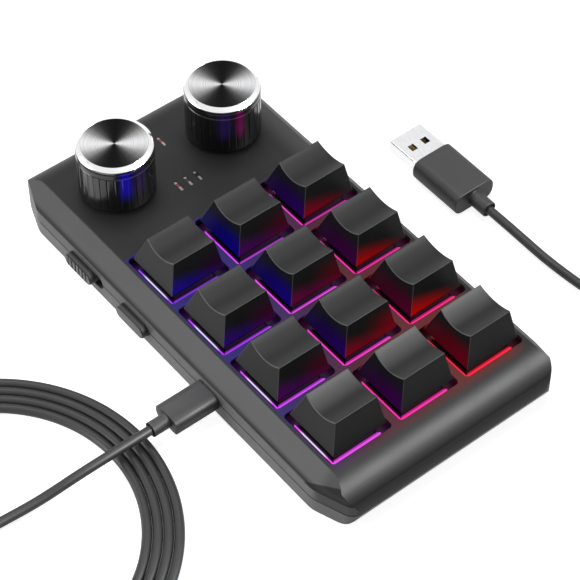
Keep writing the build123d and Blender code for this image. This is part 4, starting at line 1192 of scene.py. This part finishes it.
# Knob discs: turned aluminium caps glued on the knobs, with a polished slanting ring that has
# two milled notches, round a face with fine turning marks.
disc_sides = 144
face_edge = (9.62 * mm, 9.56 * mm)
rim_edge = (10.96 * mm, 11.04 * mm)
notch_angles = (-24, -172)
notch_size = (1.5 * mm, 0.8 * mm, 0.7 * mm)
notch_reach = 10.7 * mm
notch_height = 33.95 * mm
ring_width = 0.35 * mm
ring_relief = 0.006 * mm
wedge_angle = -38.6
disc_outline = [
    (10.75, 32.8), (11.0, 32.8), (11.1, 32.9), (11.1, 33.32), (11.04, 33.42), (9.84, 34.24),
    (9.74, 34.3), (9.66, 34.3), (9.6, 34.26), (9.56, 34.14), (9.4, 34.12), (4.0, 34.12),
    (0.4, 34.12),
]


def spun_aluminium(name, middle):
    """Turned aluminium: fine rings about a middle, with a painted sheen in wedges across them."""
    material = finish(name, Metallic=1.0, Anisotropic=0.8)
    spot = places(material, (1, 1, 0), middle)
    from_middle = add_node(material, "VectorMath", output=1, operation="LENGTH", Vector=spot)
    rings = add_node(material, "TexNoise", noise_dimensions="1D", W=from_middle, Scale=1 / ring_width)
    x, y, z = add_node(material, "SeparateXYZ", Vector=spot).node.outputs
    around = number(material, "ARCTAN2", y, x)
    # Painted sheen: two bright and two dark wedges about the middle, set at one angle.
    wedges = number(material, "COSINE", scaled(material, around, 2.0, -2.0 * radians(wedge_angle)))
    wedge_tone = tones(
        material,
        scaled(material, wedges, 0.5, 0.5),
        (0.0, 0.003),
        (0.07, 0.008),
        (0.25, 0.026),
        (0.5, 0.096),
        (0.75, 0.26),
        (1.0, (0.55, 0.55, 0.56)),
    )
    wedge_tone = mixed(material, scaled(material, rings, 0.5), wedge_tone, 0.02)
    ring_tone = mixed(material, rings, (0.78, 0.78, 0.79), (0.9, 0.9, 0.91))
    # Painted shade: a dark line along the ring's outer edge.
    ring_tone = mixed(material, share(material, from_middle, *rim_edge), ring_tone, 0.12)
    on_face = share(material, from_middle, *face_edge)
    shader_values(
        material,
        Base_Color=mixed(material, on_face, ring_tone, wedge_tone),
        Roughness=ranged(material, on_face, 0.12, 0.3),
        Tangent=add_node(material, "Tangent", direction_type="RADIAL", axis="Z"),
        Normal=raised(material, rings, ring_relief),
    )
    return material


first_disc = turned("disc_body", disc_outline, disc_sides)
for notch_angle in notch_angles:
    deselect()
    turn = radians(notch_angle)
    bpy.ops.mesh.primitive_cube_add(
        size=1,
        location=(notch_reach * cos(turn), notch_reach * sin(turn), notch_height),
        rotation=(0, 0, turn),
        scale=notch_size,
    )
    cut_or_join(first_disc, bpy.context.object, "DIFFERENCE")
take(first_disc)
bpy.ops.object.shade_smooth_by_angle(angle=radians(25))
for side, place in knob_places.items():
    disc = copied(f"disc_body_{side}", first_disc, place)
    dress(disc, spun_aluminium(f"spun_aluminium_{side}", tuple(place)))
    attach(disc, f"dial_{side}")
    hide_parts(f"knob_disc_{side}")
bpy.data.objects.remove(first_disc)


# Indicator lenses: clear acrylic pipes that stand just below the rims of the four slots. Each
# shows a short window at the back and a longer one at the front, and the first a red mark.
status_y = 39.95 * mm
lock_y = 57.35 * mm
red_slot_x = -5.1 * mm
red_fade = (1.2 * mm, 0.9 * mm)
slot_pitch = 3.375 * mm
slot_rim = (0.24 * mm, 0.52 * mm)
far_window_y = 1.5 * mm
far_window_fade = (0.45 * mm, 0.25 * mm)
near_window_y = -1.15 * mm
near_window_fade = (0.95 * mm, 0.7 * mm)
lens_grain = 0.3 * mm
lens_relief = 0.01 * mm
lens = finish("lens_acrylic", Roughness=0.2, IOR=1.49)
x, y, z = axes(lens)
is_lock = number(lens, "GREATER_THAN", y, (status_y + lock_y) / 2)
along = number(lens, "SUBTRACT", y, scaled(lens, is_lock, lock_y - status_y, status_y))
windows = most(
    lens,
    near_line(lens, along, far_window_y, far_window_fade),
    near_line(lens, along, near_window_y, near_window_fade),
)
is_red = most(lens, is_lock, near_line(lens, x, red_slot_x, red_fade))
between = mixed(lens, is_red, (0.03, 0.028, 0.028), (0.3, 0.03, 0.025))
slot_step = number(lens, "ROUND", scaled(lens, x, 1 / slot_pitch, -red_slot_x / slot_pitch))
slot_middle = scaled(lens, slot_step, slot_pitch, red_slot_x)
# Painted shade: the lens is painted dark along both sides of each slot, under the slot's walls.
rim = near_line(lens, x, slot_middle, slot_rim)
lens_skin = mixed(lens, windows, between, (0.4, 0.385, 0.385))
shader_values(
    lens,
    Base_Color=mixed(lens, rim, lens_skin, 0.01),
    Normal=raised(lens, speckle(lens, lens_grain), lens_relief),
)
dress(nodes["indicator_lenses"], lens)


# Side controls: a ribbed slide knob and a smooth button, moulded in the cover's plastic and
# held behind the left wall by their flanges. Both stand well out of their holes.
wall_face = -39.2 * mm
wall_slack = 0.3 * mm
control_more = 1.0 * mm
control_weld = 0.01 * mm
root_fade = (wall_face - 1.5 * mm, wall_face - 0.5 * mm)
edge_low = (0.15, 0.4)
edge_high = (0.95, 0.8)
side_turn = (0.9, 0.6)
controls = moulded(
    "control_plastic", (0.076, 0.076, 0.078), (0.094, 0.094, 0.096),
    grain=0.14 * mm, depth=0.012 * mm, dull=0.5, shiny=0.42, gloss=0.2,
)
# Painted shade: the sides are painted darker than the outer face, the rounded edge of the outer face darker
# still, and the root by the wall darkest.
outward = scaled(controls, facing(controls)[0], -1.0)
edge = product(controls, share(controls, outward, *edge_low), share(controls, outward, *edge_high))
control_skin = painted(
    controls,
    skin_of(controls),
    (share(controls, outward, *side_turn), 1.0, (0.066, 0.066, 0.067)),
    (edge, 0.9, 0.005),
    (share(controls, axes(controls)[0], *root_fade), 1.0, 0.004),
)
shader_values(controls, Base_Color=control_skin)
for node, body in (("slide_knob", "slider"), ("side_button", "button")):
    control = add_object(f"{node}_body", nodes[node].data.copy())
    weld(control, control_weld)
    for vertex in control.data.vertices:
        if vertex.co.x < wall_face - wall_slack:
            vertex.co.x -= control_more
    bpy.ops.object.shade_smooth_by_angle(angle=radians(30))
    dress(control, controls)
    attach(control, body)
    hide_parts(node)


# Floor, background and lamps: a wide white sheet in a pale studio, with a low soft lamp on the
# left, one overhead, and a card at the front right that only glossy surfaces show.
floor_size = 6.0
floor_bright = 0.85
studio_bright = 0.25
lamp_distance = 1.2
lamps = (
    ("left_lamp", (-0.84, 0.51, 0.3), 0.7, 12.0, True),
    ("top_lamp", (0.1, 0.25, 1.0), 0.5, 6.0, True),
    ("front_card", (0.41, -0.6, 0.68), 0.6, 47.0, False),
)


def seen(material):
    """1 where the camera, a reflection or a clear piece shows a surface, and 0 for its light."""
    rays = add_node(material, "LightPath")
    clear = rays.node.outputs["Is Transmission Ray"]
    return most(material, rays, rays.node.outputs["Is Glossy Ray"], clear)


deselect()
bpy.ops.mesh.primitive_plane_add(size=floor_size, location=(0, 0, 0))
floor = bpy.context.object
floor.name = "floor"
floor_white = finish("floor_white", Base_Color=(0.7, 0.7, 0.7), Roughness=1.0, Specular_IOR_Level=0.0)
shader_values(
    floor_white,
    Emission_Color=(1.0, 1.0, 1.0),
    Emission_Strength=product(floor_white, seen(floor_white), floor_bright),
)
dress(floor, floor_white)

studio = bpy.data.worlds.new("studio")
studio.use_nodes = True
bpy.context.scene.world = studio
background = studio.node_tree.nodes["Background"]
fill(studio, background.inputs["Color"], (1.0, 1.0, 1.0, 1.0))
fill(studio, background.inputs["Strength"], ranged(studio, seen(studio), studio_bright, 1.0))

for name, direction, size, power, is_diffuse in lamps:
    lamp = bpy.data.lights.new(name, "AREA")
    lamp.size = size
    lamp.energy = power
    holder = add_object(name, lamp)
    holder.location = Vector(direction).normalized() * lamp_distance
    holder.rotation_mode = "QUATERNION"
    holder.rotation_quaternion = (-Vector(direction)).to_track_quat("-Z", "Y")
    holder.visible_diffuse = is_diffuse
